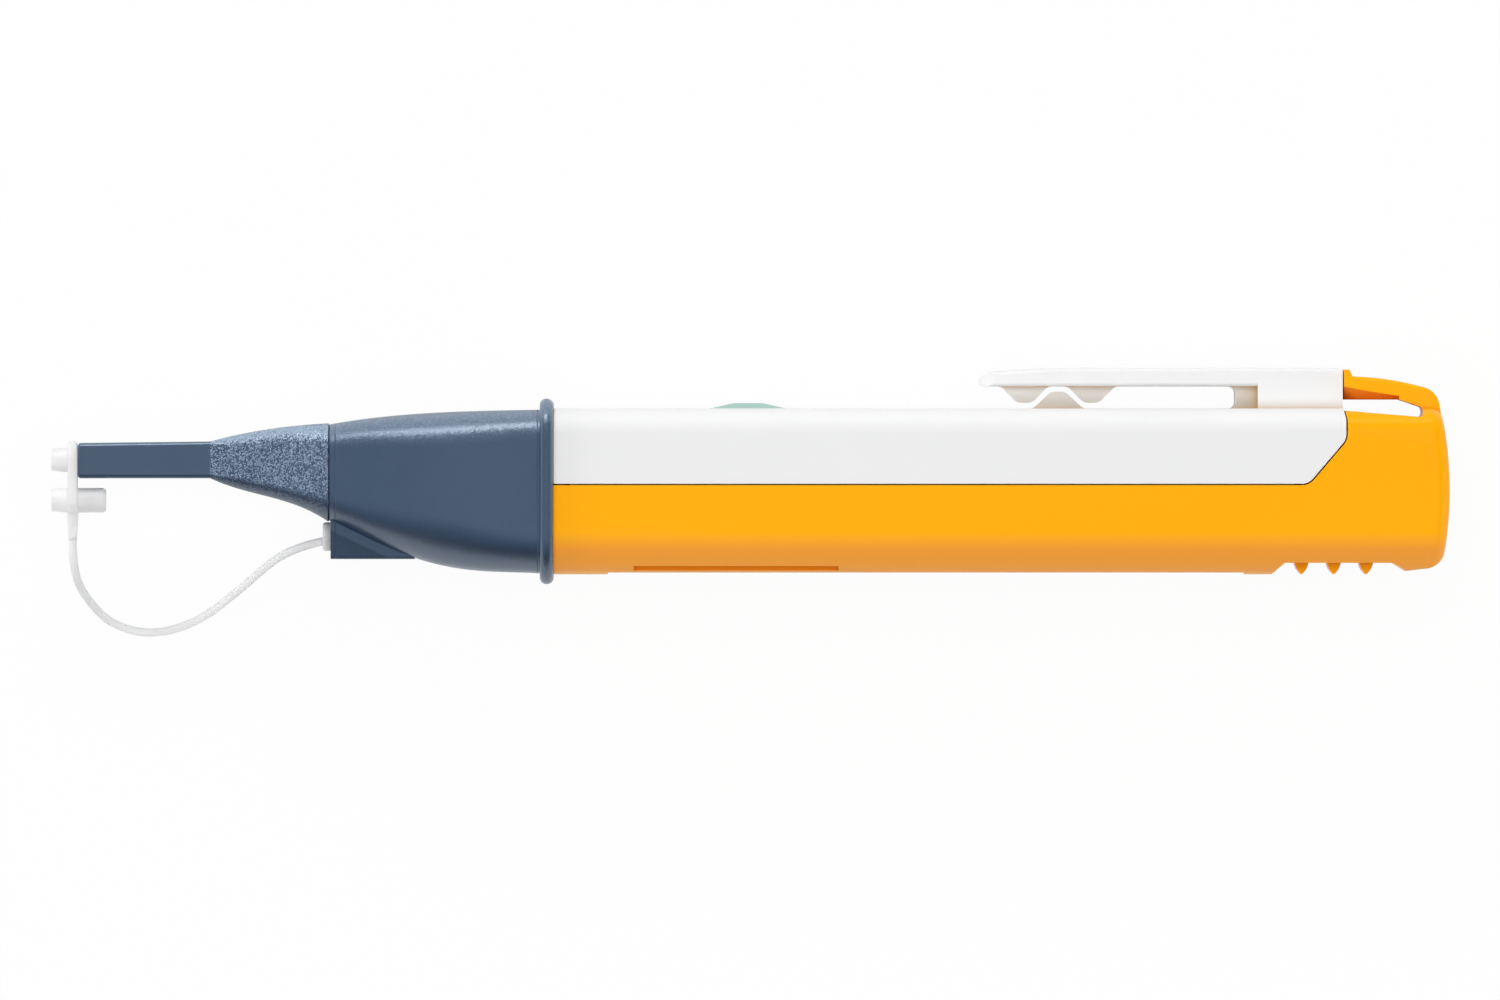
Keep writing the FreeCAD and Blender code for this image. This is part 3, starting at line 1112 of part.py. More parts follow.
# Contacts: plate at the front cell, leaf spring at the rear cell, each with a solder tab through the board
STRIP_LOW = f"({CELL_AXIS} - contact_height / 2)"
STRIP_HIGH = f"({CELL_AXIS} + contact_height / 2)"
TAB_TOP = f"({BOARD_TOP} + tab_rise)"
positive = new_piece("positive_contact")
drawing = sketch(positive, "plate", "side")
draw_outline(drawing, box(TRAY_FRONT, f"{TRAY_FRONT} + contact_thickness", STRIP_LOW, STRIP_HIGH))
pad(positive, drawing, "contact_width", both=True)
drawing = sketch(positive, "tab", "side")
draw_outline(drawing, box(TRAY_FRONT, f"{TRAY_FRONT} + contact_thickness", CELL_AXIS, TAB_TOP))
pad(positive, drawing, "tab_width", both=True)

negative = new_piece("negative_contact")
LEAF_BACK = f"({TRAY_REAR} - contact_thickness)"
LEAF_BEND = "(contact_height / 8)"
drawing = sketch(negative, "leaf", "side")
draw_outline(drawing, [
    (TRAY_REAR, STRIP_LOW),
    (TRAY_REAR, STRIP_HIGH),
    (LEAF_BACK, STRIP_HIGH),
    (LEAF_BACK, f"{STRIP_LOW} + {LEAF_BEND}"),
    (f"{CELL_END} + contact_thickness", f"{CELL_AXIS} - {LEAF_BEND} / 2"),
    (f"{CELL_END} + contact_thickness", f"{CELL_AXIS} + {LEAF_BEND}"),
    (f"{CELL_END} + leaf_reach / 2", f"{CELL_AXIS} + 3 * {LEAF_BEND} - contact_thickness"),
    (f"{CELL_END} + leaf_reach / 2 - contact_thickness", f"{CELL_AXIS} + 3 * {LEAF_BEND}"),
    (CELL_END, f"{CELL_AXIS} + {LEAF_BEND}"),
    (CELL_END, f"{CELL_AXIS} - {LEAF_BEND}"),
    (LEAF_BACK, STRIP_LOW),
])
pad(negative, drawing, "contact_width", both=True)
drawing = sketch(negative, "tab", "side")
draw_outline(drawing, box(LEAF_BACK, TRAY_REAR, CELL_AXIS, TAB_TOP))
pad(negative, drawing, "tab_width", both=True)

# Chassis screw, from the tongue up into the housing's boss
screw = new_piece("chassis_screw")
SCREW_SEAT = f"({BOARD_LOW} - tongue_thickness)"
drawing = sketch(screw, "profile", "side", shift=(SCREW, "0"))
draw_outline(drawing, [
    ("0", f"{SCREW_SEAT} - screw_head_height"),
    ("screw_head / 3", f"{SCREW_SEAT} - screw_head_height"),
    ("screw_head / 2", f"{SCREW_SEAT} - screw_head_height / 2"),
    ("screw_head / 2", SCREW_SEAT),
    ("screw_diameter / 2", SCREW_SEAT),
    ("screw_diameter / 2", f"{SCREW_SEAT} + screw_length"),
    ("0", f"{SCREW_SEAT} + screw_length"),
])
revolve(screw, drawing, "V_Axis")
drawing = sketch(screw, "drive", "plan", f"{SCREW_SEAT} - screw_head_height")
draw_outline(drawing, box(f"{SCREW} - screw_head / 4", f"{SCREW} + screw_head / 4", "-screw_head / 16",
                          "screw_head / 16"))
pocket(screw, drawing, "screw_head_height / 2")

# Push button: dome, side, flange under the roof and post on the plunger
button = new_piece("push_button")
drawing = sketch(button, "profile", "side", shift=("button_place", "0"))
draw_outline(drawing, [
    ("0", PLUNGER_TOP),
    ("plunger_diameter / 2", PLUNGER_TOP),
    ("plunger_diameter / 2", f"{FLANGE_TOP} - flange_thickness"),
    ("button_diameter / 2 + flange_width", f"{FLANGE_TOP} - flange_thickness"),
    ("button_diameter / 2 + flange_width", FLANGE_TOP),
    ("button_diameter / 2", FLANGE_TOP),
    ("button_diameter / 2", HEIGHT),
    ("button_flat / 2", f"{HEIGHT} + button_rise"),
    ("0", f"{HEIGHT} + button_rise"),
])
revolve(button, drawing, "V_Axis")

# Dust cap: strip with a plug in the bore, a spare plug and the root of the tether
cap = new_piece("dust_cap")
drawing = sketch(cap, "strip", "section", STRIP_FRONT)
draw_outline(drawing, [
    (ROOT_TOP, "-strip_foot_half"),
    (f"{PROBE_AXIS} - strip_foot", "-strip_half"),
    (PROBE_AXIS, "-strip_half", "strip_half", 1),
    (f"{PROBE_AXIS} + strip_half", "0", "strip_half", 1),
    (PROBE_AXIS, "strip_half"),
    (f"{PROBE_AXIS} - strip_foot", "strip_half"),
    (ROOT_TOP, "strip_foot_half"),
])
pad(cap, drawing, "strip_thickness")
round_edges(cap, "strip_round", lambda middle, extent: extent.XLength < 0.01 and middle.y > number(
    f"{ROOT_TOP} + 0.1"))

drawing = sketch(cap, "plug", "side", shift=("0", PROBE_AXIS))
draw_outline(drawing, [
    (f"{STRIP_FRONT} - stub_length", "0"),
    (f"{TIP} + plug_depth", "0"),
    (f"{TIP} + plug_depth", "plug_diameter / 2 - plug_lead / 2"),
    (f"{TIP} + plug_depth - plug_lead", "plug_diameter / 2"),
    (STRIP_MIDDLE, "plug_diameter / 2"),
    (STRIP_MIDDLE, "stub_diameter / 2"),
    (STRIP_FRONT, "stub_diameter / 2"),
    (f"{STRIP_FRONT} - stub_length", "stub_end / 2"),
])
revolve(cap, drawing, "H_Axis")

drawing = sketch(cap, "spare", "side", shift=("0", SPARE_AXIS))
draw_outline(drawing, [
    (f"{STRIP_FRONT} - stub_length", "0"),
    (f"{STRIP_REAR} + spare_length - spare_depth", "0"),
    (f"{STRIP_REAR} + spare_length - spare_depth", "spare_bore / 2"),
    (f"{STRIP_REAR} + spare_length", "spare_bore / 2"),
    (f"{STRIP_REAR} + spare_length", "stub_diameter / 2 - plug_lead / 2"),
    (f"{STRIP_REAR} + spare_length - plug_lead", "stub_diameter / 2"),
    (STRIP_FRONT, "stub_diameter / 2"),
    (f"{STRIP_FRONT} - stub_length", "stub_end / 2"),
])
revolve(cap, drawing, "H_Axis")

drawing = sketch(cap, "root", "side", shift=(STRIP_MIDDLE, "0"))
draw_outline(drawing, [
    ("0", f"{ROOT_TOP} - root_length"),
    ("tether_diameter / 2", f"{ROOT_TOP} - root_length"),
    ("root_diameter / 2", ROOT_TOP),
    ("root_diameter / 2", f"{ROOT_TOP} + strip_thickness"),
    ("0", f"{ROOT_TOP} + strip_thickness"),
])
revolve(cap, drawing, "V_Axis")

# Tether anchor: stud pressed into the sleeve's block
anchor = new_piece("tether_anchor")
drawing = sketch(anchor, "profile", "side", shift=("0", "anchor_height"))
draw_outline(drawing, [
    (f"{BLOCK_FRONT} - anchor_head_length", "0"),
    (f"{BLOCK_FRONT} + anchor_depth", "0"),
    (f"{BLOCK_FRONT} + anchor_depth", "anchor_shank / 2"),
    (BLOCK_FRONT, "anchor_shank / 2"),
    (BLOCK_FRONT, "anchor_head / 2"),
    (f"{BLOCK_FRONT} - anchor_head_length", "anchor_head / 2"),
])
revolve(anchor, drawing, "H_Axis")
round_edges(anchor, "anchor_round", lambda middle, extent: near(
    extent.XMin, f"{BLOCK_FRONT} - anchor_head_length") and extent.XLength < 0.01)


def tether_path(points, bend):
    """Straight runs joined by tangent arcs, each as large as its two runs allow, and the arcs' radii."""
    edges = []
    radii = []
    last = points[0]
    for before, point, after in zip(points, points[1:], points[2:]):
        back = (before - point)
        ahead = (after - point)
        setback = bend * min(back.Length, ahead.Length)
        half_turn = (math.pi - back.getAngle(ahead)) / 2
        radii.append(setback / math.tan(half_turn))
        start = point + back.normalize() * setback
        stop = point + ahead.normalize() * setback
        inward = (back + ahead).normalize()
        middle = point + inward * (radii[-1] / math.cos(half_turn) - radii[-1])
        edges.append(Part.LineSegment(last, start).toShape())
        edges.append(Part.Arc(start, middle, stop).toShape())
        last = stop
    edges.append(Part.LineSegment(last, points[-1]).toShape())
    return Part.Wire(edges), radii


# Tether: round strap swept along its route
start = Vector(*(number(place) for place in TETHER_START))
stop = Vector(*(number(place) for place in TETHER_STOP))
reach = stop.x - start.x
floor = number(TETHER_FLOOR)
points = [start + Vector(share * reach, -drop, -sunk * floor) for share, drop, sunk in TETHER_FROM_STUD]
points += [stop + Vector(-share * reach, -drop, -sunk * floor) for share, drop, sunk in TETHER_FROM_ROOT]
path, radii = tether_path(points, TETHER_BEND)
thickness = number("tether_diameter")
ring = Part.Wire(Part.Circle(points[0], points[1] - points[0], thickness / 2).toShape())
tether = doc.addObject("Part::Feature", "tether")
tether.Label = "tether"
tether.Shape = path.makePipeShell([ring], True, True)
tether.Placement = cap.Placement
pieces.append(tether)
print("tether points")
for point in points:
    print("   ", tuple(round(part, 3) for part in tether.Placement.multVec(point)))
print("tether radii", [round(radius, 2) for radius in radii], "length", round(path.Length, 2))
print("tether volume", round(tether.Shape.Volume, 3), "against",
      round(math.pi * thickness ** 2 / 4 * path.Length, 3))

# Check the document, then write one file for each piece
doc.recompute()
tether.Placement = cap.Placement
for item in doc.Objects:
    assert not {"Invalid", "Error"} & set(item.State), f"{item.Name} failed: {item.State}"
os.makedirs("parts", exist_ok=True)
for piece in pieces:
    assert not piece.Shape.isNull() and piece.Shape.isValid(), f"{piece.Label} has no valid shape"
for piece in pieces:
    extent = piece.Shape.BoundBox
    print(f"{piece.Label}: {len(piece.Shape.Solids)} solid, {piece.Shape.Volume:.1f} mm3, "
          f"x {extent.XMin:.2f} {extent.XMax:.2f}, y {extent.YMin:.2f} {extent.YMax:.2f}, "
          f"z {extent.ZMin:.2f} {extent.ZMax:.2f}")
    piece.Shape.exportStep(f"parts/{piece.Label}.step")
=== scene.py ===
import math

import bmesh
import bpy
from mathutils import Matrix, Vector


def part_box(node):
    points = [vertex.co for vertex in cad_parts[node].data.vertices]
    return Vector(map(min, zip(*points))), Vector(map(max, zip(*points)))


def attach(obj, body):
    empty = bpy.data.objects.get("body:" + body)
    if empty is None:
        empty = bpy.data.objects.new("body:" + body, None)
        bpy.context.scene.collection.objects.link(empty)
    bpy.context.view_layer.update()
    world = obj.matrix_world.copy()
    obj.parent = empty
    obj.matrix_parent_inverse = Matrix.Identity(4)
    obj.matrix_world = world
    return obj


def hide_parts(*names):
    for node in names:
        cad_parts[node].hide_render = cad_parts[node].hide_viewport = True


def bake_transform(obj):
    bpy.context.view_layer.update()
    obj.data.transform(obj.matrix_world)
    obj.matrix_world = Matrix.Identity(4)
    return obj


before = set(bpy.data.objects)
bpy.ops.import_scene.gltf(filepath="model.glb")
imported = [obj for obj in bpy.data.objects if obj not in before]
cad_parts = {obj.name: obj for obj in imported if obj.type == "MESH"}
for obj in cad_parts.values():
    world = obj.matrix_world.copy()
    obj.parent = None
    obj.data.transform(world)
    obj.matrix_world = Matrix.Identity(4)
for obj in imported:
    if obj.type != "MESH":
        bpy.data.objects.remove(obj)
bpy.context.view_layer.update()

MM = 0.001
scene = bpy.context.scene
scene.view_settings.view_transform = "Standard"


# Camera: straight down on the detector's side, from far off
PICTURE_WIDTH = 1500
PIXELS_PER_MM = 8.2
PICTURE_CENTRE = (-1.625 * MM, -2.925 * MM)
MIDDLE_HEIGHT = 12.2 * MM
CAMERA_DISTANCE = 4.0
SENSOR_WIDTH = 36

camera_data = bpy.data.cameras.new("camera")
camera_data.sensor_width = SENSOR_WIDTH
camera_data.lens = SENSOR_WIDTH * CAMERA_DISTANCE / (PICTURE_WIDTH / PIXELS_PER_MM * MM)
camera = bpy.data.objects.new("camera", camera_data)
camera.location = (*PICTURE_CENTRE, MIDDLE_HEIGHT + CAMERA_DISTANCE)
scene.collection.objects.link(camera)
scene.camera = camera


# Tether: one smooth strand from the anchor stud down to the floor and up to the dust cap
# The route's points are in millimetres
TETHER_DIAMETER = 1.0 * MM
TETHER_ROUTE = [
    (-53.43, -7.885, 12.2),
    (-56.626, -8.6, 12.0),
    (-59.978, -10.385, 9.626),
    (-64.154, -14.085, 4.595),
    (-69.153, -17.885, 1.003),
    (-74.731, -19.485, 0.5),
    (-79.729, -18.185, 2.805),
    (-82.716, -14.885, 8.397),
    (-84.21, -11.585, 12.2),
    (-84.21, -7.835, 12.2),
]
CURVE_ORDER = 3
STEPS_PER_SPAN = 24
TUBE_ROUNDNESS = 6


def strand_curve(route):
    """A smooth curve with the route's points as its control points."""
    curve = bpy.data.curves.new("tether_line", "CURVE")
    curve.dimensions = "3D"
    curve.resolution_u = STEPS_PER_SPAN
    spline = curve.splines.new("NURBS")
    spline.points.add(len(route) - 1)
    for point, place in zip(spline.points, route):
        point.co = (*(MM * part for part in place), 1)
    spline.order_u = CURVE_ORDER
    spline.use_endpoint_u = True
    return curve


def curve_mesh(curve):
    """The mesh that Blender makes of the curve as it stands."""
    holder = bpy.data.objects.new("tether_line", curve)
    scene.collection.objects.link(holder)
    bpy.context.view_layer.update()
    evaluated = holder.evaluated_get(bpy.context.evaluated_depsgraph_get())
    mesh = bpy.data.meshes.new_from_object(evaluated)
    bpy.data.objects.remove(holder)
    return mesh


def make_tether():
    """The tether's tube and the line that it follows."""
    curve = strand_curve(TETHER_ROUTE)
    line = [vertex.co.copy() for vertex in curve_mesh(curve).vertices]
    curve.bevel_depth = TETHER_DIAMETER / 2
    curve.bevel_resolution = TUBE_ROUNDNESS
    mesh = curve_mesh(curve)
    mesh.shade_smooth()
    mesh.name = "tether_strand"
    piece = bpy.data.objects.new("tether_strand", mesh)
    scene.collection.objects.link(piece)
    return piece, line


tether, tether_line = make_tether()


# Shader maths
class Value:
    """One socket of a node tree, with the operators that add Math nodes."""

    def __init__(self, nodes, socket):
        self.nodes = nodes
        self.socket = socket

    def maths(self, operation, first, second):
        """The outcome of one sum with two values."""
        return self.nodes.node("ShaderNodeMath", {"operation": operation}, {0: first, 1: second})

    def __add__(self, other):
        return self.maths("ADD", self, other)

    def __sub__(self, other):
        return self.maths("SUBTRACT", self, other)

    def __rsub__(self, other):
        return self.maths("SUBTRACT", other, self)

    def __mul__(self, other):
        return self.maths("MULTIPLY", self, other)

    __radd__ = __add__
    __rmul__ = __mul__


class Nodes:
    """A node tree whose nodes are added one by one."""

    def __init__(self, tree):
        self.tree = tree

    def node(self, kind, settings, inputs, output=0):
        """A node with its settings, then the values or links of its sockets."""
        made = self.tree.nodes.new(kind)
        for name, value in settings.items():
            setattr(made, name, value)
        for name, value in inputs.items():
            self.give(made.inputs[name], value)
        return Value(self, made.outputs[output])

    def give(self, socket, value):
        """A link or a plain value for one socket."""
        if isinstance(value, Value):
            self.tree.links.new(value.socket, socket)
        else:
            socket.default_value = value

    def part(self, vector, axis):
        """One part of a vector."""
        return self.node("ShaderNodeSeparateXYZ", {}, {"Vector": vector}, axis)

    def between(self, value, low, high, start=0.0, stop=1.0):
        """The value's share of the way from low to high, as a number from start to stop."""
        return self.node("ShaderNodeMapRange", {"clamp": True}, {
            "Value": value, "From Min": low, "From Max": high, "To Min": start, "To Max": stop})


# Leans, from minus one to one, over which the painted shade of the lower corner and the painted
# highlight of the upper corner give way to the face beyond them
UNDERSIDE_LEAN = (-0.99, -0.92)
CLIP_SIDE_LEAN = (0.97, 0.90)

# Open share of the sky at which painted shade in hollows starts and is full
RECESS_SKY = (0.75, 0.25)
RECESS_SAMPLES = 8


class Finish(Nodes):
    """A material with one Principled shader. Sizes and places are in millimetres."""

    def __init__(self, name, constants):
        self.material = bpy.data.materials.new(name)
        self.material.use_nodes = True
        super().__init__(self.material.node_tree)
        self.shader = self.tree.nodes["Principled BSDF"]
        for socket, value in constants.items():
            self.feed(socket, value)

    def feed(self, socket, value):
        """A value for one of the shader's sockets."""
        self.give(self.shader.inputs[socket], value)

    def mix(self, share, first, second):
        """The first colour, going over to the second."""
        return self.node("ShaderNodeMix", {"data_type": "RGBA"}, {0: share, 6: first, 7: second}, 2)

    def paint(self, share, first, second):
        """A base colour that goes from the first to the second."""
        self.colour = self.mix(share, first, second)
        self.feed("Base Color", self.colour)

    def tint(self, share, second):
        """The base colour so far, going over to another."""
        self.paint(share, self.colour, second)

    def bump(self, height, strength=1.0):
        """Relief of that height."""
        self.feed("Normal", self.node("ShaderNodeBump", {}, {
            "Height": height, "Distance": MM, "Strength": strength}, "Normal"))

    def place(self, turn=(0, 0, 0), stretch=(1, 1, 1)):
        """Object coordinates in metres, turned and stretched."""
        coordinates = self.node("ShaderNodeTexCoord", {}, {}, "Object")
        return self.node("ShaderNodeMapping", {}, {
            "Vector": coordinates, "Rotation": turn, "Scale": stretch})

    def along(self, axis):
        """The place along one axis."""
        return self.part(self.place(), axis) * (1 / MM)

    def inside(self, axis, low, high, soft=0.05):
        """One between two places along an axis, and nought elsewhere."""
        place = self.along(axis)
        past_low = self.between(place, low - soft, low + soft)
        short_of_high = self.between(place, high + soft, high - soft)
        return past_low * short_of_high

    def grain(self, size, detail=3, stretch=(1, 1, 1)):
        """Noise with lumps of about that size."""
        return self.node("ShaderNodeTexNoise", {}, {
            "Vector": self.place(stretch=stretch), "Scale": 1 / (size * MM), "Detail": detail})

    def cells(self, size, output="Distance"):
        """Cells of about that size: the distance from a middle, or another output."""
        return self.node("ShaderNodeTexVoronoi", {}, {
            "Vector": self.place(), "Scale": 1 / (size * MM)}, output)

    def chance(self, size):
        """A chance number for each cell, from nought to one."""
        return self.part(self.cells(size, "Color"), "Z")

    def facets(self, size):
        """Height of small flat facets, each with a chance slope of up to a half."""
        offset = self.node("ShaderNodeVectorMath", {"operation": "SUBTRACT"}, {
            0: self.place(), 1: self.cells(size, "Position")})
        slope = self.node("ShaderNodeVectorMath", {"operation": "SUBTRACT"}, {
            0: self.cells(size, "Color"), 1: (0.5, 0.5, 0.5)})
        height = self.node("ShaderNodeVectorMath", {"operation": "DOT_PRODUCT"}, {
            0: offset, 1: slope}, "Value")
        return height * (1 / MM)

    def facing(self, axis):
        """How far the surface looks along one axis, from minus one to one."""
        return self.part(self.node("ShaderNodeNewGeometry", {}, {}, "Normal"), axis)

    def shaded_lower_corner(self, start, full):
        """One on the corner that turns down to the underside, nought on the faces beside it: where
        shade is painted.
        """
        lean = self.facing("Y")
        return self.between(lean, start, full) * self.between(lean, *UNDERSIDE_LEAN)

    def lit_upper_corner(self, start, full):
        """One on the corner that turns up to the clip side, nought on the faces beside it: where
        highlights are painted.
        """
        lean = self.facing("Y")
        return self.between(lean, start, full) * self.between(lean, *CLIP_SIDE_LEAN)

    def painted_recess_shade(self, reach):
        """One deep in grooves and seams, nought on open faces: the mask of painted shade."""
        sky = self.node("ShaderNodeAmbientOcclusion", {"samples": RECESS_SAMPLES}, {
            "Distance": reach * MM}, "AO")
        return self.between(sky, *RECESS_SKY)


# Finishes of the pieces that show
def white_shell_finish():
    """Satin white moulded shell, fine moulded grain, painted warm shade in hollows and painted brown
    shade in seams.
    """
    finish = Finish("white_shell", {"Specular IOR Level": 0.1})
    finish.paint(finish.grain(9.0, detail=2), (0.795, 0.797, 0.80, 1), (0.815, 0.815, 0.815, 1))
    # Painted shade: warm where the clip and other hollows shelter the face, brown down in the seams
    finish.tint(finish.painted_recess_shade(3.0) * 0.85, (0.57, 0.42, 0.22, 1))
    finish.tint(finish.painted_recess_shade(0.5) * 0.9, (0.86, 0.45, 0.14, 1))
    finish.feed("Roughness", 0.38 + 0.12 * finish.grain(1.6))
    finish.bump(0.004 * finish.grain(0.22) + 0.002 * finish.grain(0.7), 0.5)
    return finish.material


def yellow_shell_finish():
    """Warm yellow moulded shell with painted shade: more orange on the lower corners, redder in
    hollows and seams.
    """
    finish = Finish("yellow_shell", {"Specular IOR Level": 0.25, "Specular Tint": (1.0, 0.8, 0.35, 1)})
    flow = finish.grain(12.0, detail=2, stretch=(0.3, 1, 1))
    finish.paint(flow, (0.965, 0.40, 0.0, 1), (0.99, 0.42, 0.001, 1))
    # Painted shade: more orange on the corner facing the underside, redder in hollows and seams
    finish.tint(finish.shaded_lower_corner(0.0, -0.4), (0.94, 0.36, 0.045, 1))
    finish.tint(finish.painted_recess_shade(4.0) * 0.65, (0.80, 0.17, 0.0, 1))
    finish.tint(finish.painted_recess_shade(0.5) * 0.8, (0.70, 0.22, 0.006, 1))
    finish.feed("Roughness", 0.28 + 0.12 * finish.grain(1.8))
    finish.bump(0.004 * finish.grain(0.25) + 0.002 * finish.grain(0.8), 0.5)
    return finish.material


def blue_shell_finish(name):
    """Blue-grey moulded plastic with painted shade on the lower corners and in seams, without its
    relief.
    """
    finish = Finish(name, {
        "Specular IOR Level": 0.9, "IOR": 1.75, "Specular Tint": (0.74, 0.87, 1.0, 1)})
    finish.paint(finish.grain(6.0), (0.045, 0.080, 0.139, 1), (0.051, 0.089, 0.151, 1))
    # Painted shade: darker on the lower corners and in seams
    finish.tint(finish.shaded_lower_corner(-0.15, -0.5) * 0.85, (0.010, 0.022, 0.053, 1))
    finish.tint(finish.painted_recess_shade(0.5) * 0.3, (0.02, 0.035, 0.06, 1))
    finish.feed("Roughness", 0.27 + 0.06 * finish.grain(2.0))
    return finish


# Width of the blue pieces' spark-eroded facets, and of the cells of their painted glints
SPARK_AND_GLINT = 0.15

# Tether block, given painted shade where the sleeve's overhang shades it: below a slanting edge, where
# Y plus a share of X is low enough, and below a level in Y
BLOCK_SLANT = 0.476
BLOCK_EDGE = (-31.6, -31.8)
BLOCK_LEVEL = (-6.0, -6.5)

# Scribed lines, behind the sleeve's front face and ahead of its rear face
FRONT_LINE = (0.70, 0.78)
REAR_LINE = (1.92, 1.85)
LINE_SOFTNESS = 0.04
LINE_DEPTH = 0.06


def sleeve_finish():
    """Nose sleeve: faint facets, painted shade on the block, a painted highlight with glints up top, a
    line at either end.
    """
    finish = blue_shell_finish("blue_sleeve")
    low, high = (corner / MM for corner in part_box("nose_sleeve"))
    slanted = finish.along("Y") + BLOCK_SLANT * finish.along("X")
    # Painted shade over the tether block
    block = finish.between(slanted, *BLOCK_EDGE) * finish.between(finish.along("Y"), *BLOCK_LEVEL)
    finish.tint(block * 0.65, (0.012, 0.028, 0.062, 1))
    # Painted highlight on the upper corner, with painted glints scattered round it
    painted_glint = finish.between(finish.chance(SPARK_AND_GLINT), 0.5, 0.95) * finish.lit_upper_corner(0.02, 0.4)
    shoulder_highlight = 0.22 * finish.lit_upper_corner(0.3, 0.85) + 0.4 * painted_glint
    finish.tint(shoulder_highlight, (0.24, 0.31, 0.41, 1))
    front_line = finish.inside("X", *(low.x + gap for gap in FRONT_LINE), LINE_SOFTNESS)
    rear_line = finish.inside("X", *(high.x - gap for gap in REAR_LINE), LINE_SOFTNESS)
    finish.bump(0.10 * finish.facets(SPARK_AND_GLINT) - LINE_DEPTH * (front_line + rear_line))
    return finish.material


# Probe rod's length ahead of the cone, and half the width of the change between their skins
ROD_LENGTH = 16.15
ROD_BLEND = 0.1


def probe_finish():
    """Probe: coarse facets and painted glints on the cone, and a smooth rod."""
    finish = blue_shell_finish("blue_probe")
    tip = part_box("probe_tip")[0] / MM
    cone = finish.between(
        finish.along("X"), tip.x + ROD_LENGTH - ROD_BLEND, tip.x + ROD_LENGTH + ROD_BLEND)
    # Painted glints: none on the underside, more on the upper corner
    glint_side = finish.between(finish.facing("Y"), -0.4, -0.1)
    glint_chance = finish.chance(SPARK_AND_GLINT) + 0.5 * finish.lit_upper_corner(0.25, 0.65)
    painted_glint = finish.between(glint_chance, 0.35, 0.9) * glint_side * cone
    finish.tint(painted_glint * 0.85, (0.32, 0.42, 0.56, 1))
    finish.bump(0.4 * finish.facets(SPARK_AND_GLINT) * cone)
    return finish.material


def button_finish():
    """Pale green translucent button with a soft skin."""
    finish = Finish("button_green", {
        "Specular IOR Level": 0.3, "Subsurface Weight": 0.15,
        "Subsurface Radius": (0.001, 0.0012, 0.001)})
    finish.paint(finish.grain(3.0), (0.31, 0.52, 0.46, 1), (0.35, 0.56, 0.495, 1))
    finish.feed("Roughness", 0.45 + 0.1 * finish.grain(0.8))
    finish.bump(0.004 * finish.grain(0.2), 0.5)
    return finish.material


def clear_strap_finish():
    """Milky clear dust cap and stud, soft enough for light to spread through."""
    finish = Finish("clear_strap", {
        "Specular IOR Level": 0.4, "Subsurface Weight": 0.7,
        "Subsurface Radius": (1.0, 1.0, 1.0), "Subsurface Scale": 2 * MM})
    cloud = finish.grain(6.0, detail=2)
    finish.paint(cloud, (0.875, 0.873, 0.882, 1), (0.895, 0.893, 0.902, 1))
    finish.feed("Roughness", 0.36 + 0.08 * finish.grain(3.0))
    finish.feed("Alpha", 0.80 + 0.06 * cloud)
    return finish.material


# Places in X where the tether whitens, past the stud, and where it greys again, near the strip's root:
# the ends carry painted shade
STUD_SHADE = (-54.0, -66.0)
ROOT_SHADE = (-77.0, -83.5)


def strand_finish():
    """Milky tether, whitest in its middle stretch, with painted shade towards both ends."""
    finish = Finish("clear_strand", {"Specular IOR Level": 0.1})
    # Painted shade: greyer near the stud and near the strip's root
    past_stud_shade = finish.between(finish.along("X"), *STUD_SHADE)
    in_root_shade = finish.between(finish.along("X"), *ROOT_SHADE)
    lit_middle = past_stud_shade * (1 - 0.9 * in_root_shade) * (0.95 + 0.05 * finish.grain(6.0, detail=2))
    finish.paint(lit_middle, (0.78, 0.785, 0.79, 1), (0.93, 0.928, 0.93, 1))
    finish.feed("Roughness", 0.5 + 0.08 * finish.grain(3.0))
    return finish.material


# Finishes of the pieces inside
def window_finish():
    """Clear polished glass over the sensor."""
    finish = Finish("window_glass", {"Transmission Weight": 0.85, "IOR": 1.5})
    finish.paint(finish.grain(0.6), (0.84, 0.88, 0.90, 1), (0.90, 0.93, 0.95, 1))
    finish.feed("Roughness", 0.05 + 0.05 * finish.grain(0.3))
    return finish.material


def epoxy_finish():
    """Black moulded epoxy with a fine blasted skin."""
    finish = Finish("black_epoxy", {"Specular IOR Level": 0.4})
    finish.paint(finish.grain(0.5), (0.012, 0.012, 0.013, 1), (0.03, 0.03, 0.03, 1))
    finish.feed("Roughness", 0.5 + 0.2 * finish.grain(0.25))
    finish.bump(0.01 * finish.grain(0.12), 0.5)
    return finish.material


def plated_finish():
    """Nickel-plated steel, drawn along its length and slightly clouded."""
    finish = Finish("plated_steel", {"Metallic": 1.0})
    draw = finish.grain(0.25, stretch=(0.08, 1, 1))
    finish.paint(finish.grain(1.4), (0.55, 0.53, 0.49, 1), (0.68, 0.66, 0.61, 1))
    finish.feed("Roughness", 0.22 + 0.18 * draw)
    finish.bump(0.004 * draw, 0.5)
    return finish.material


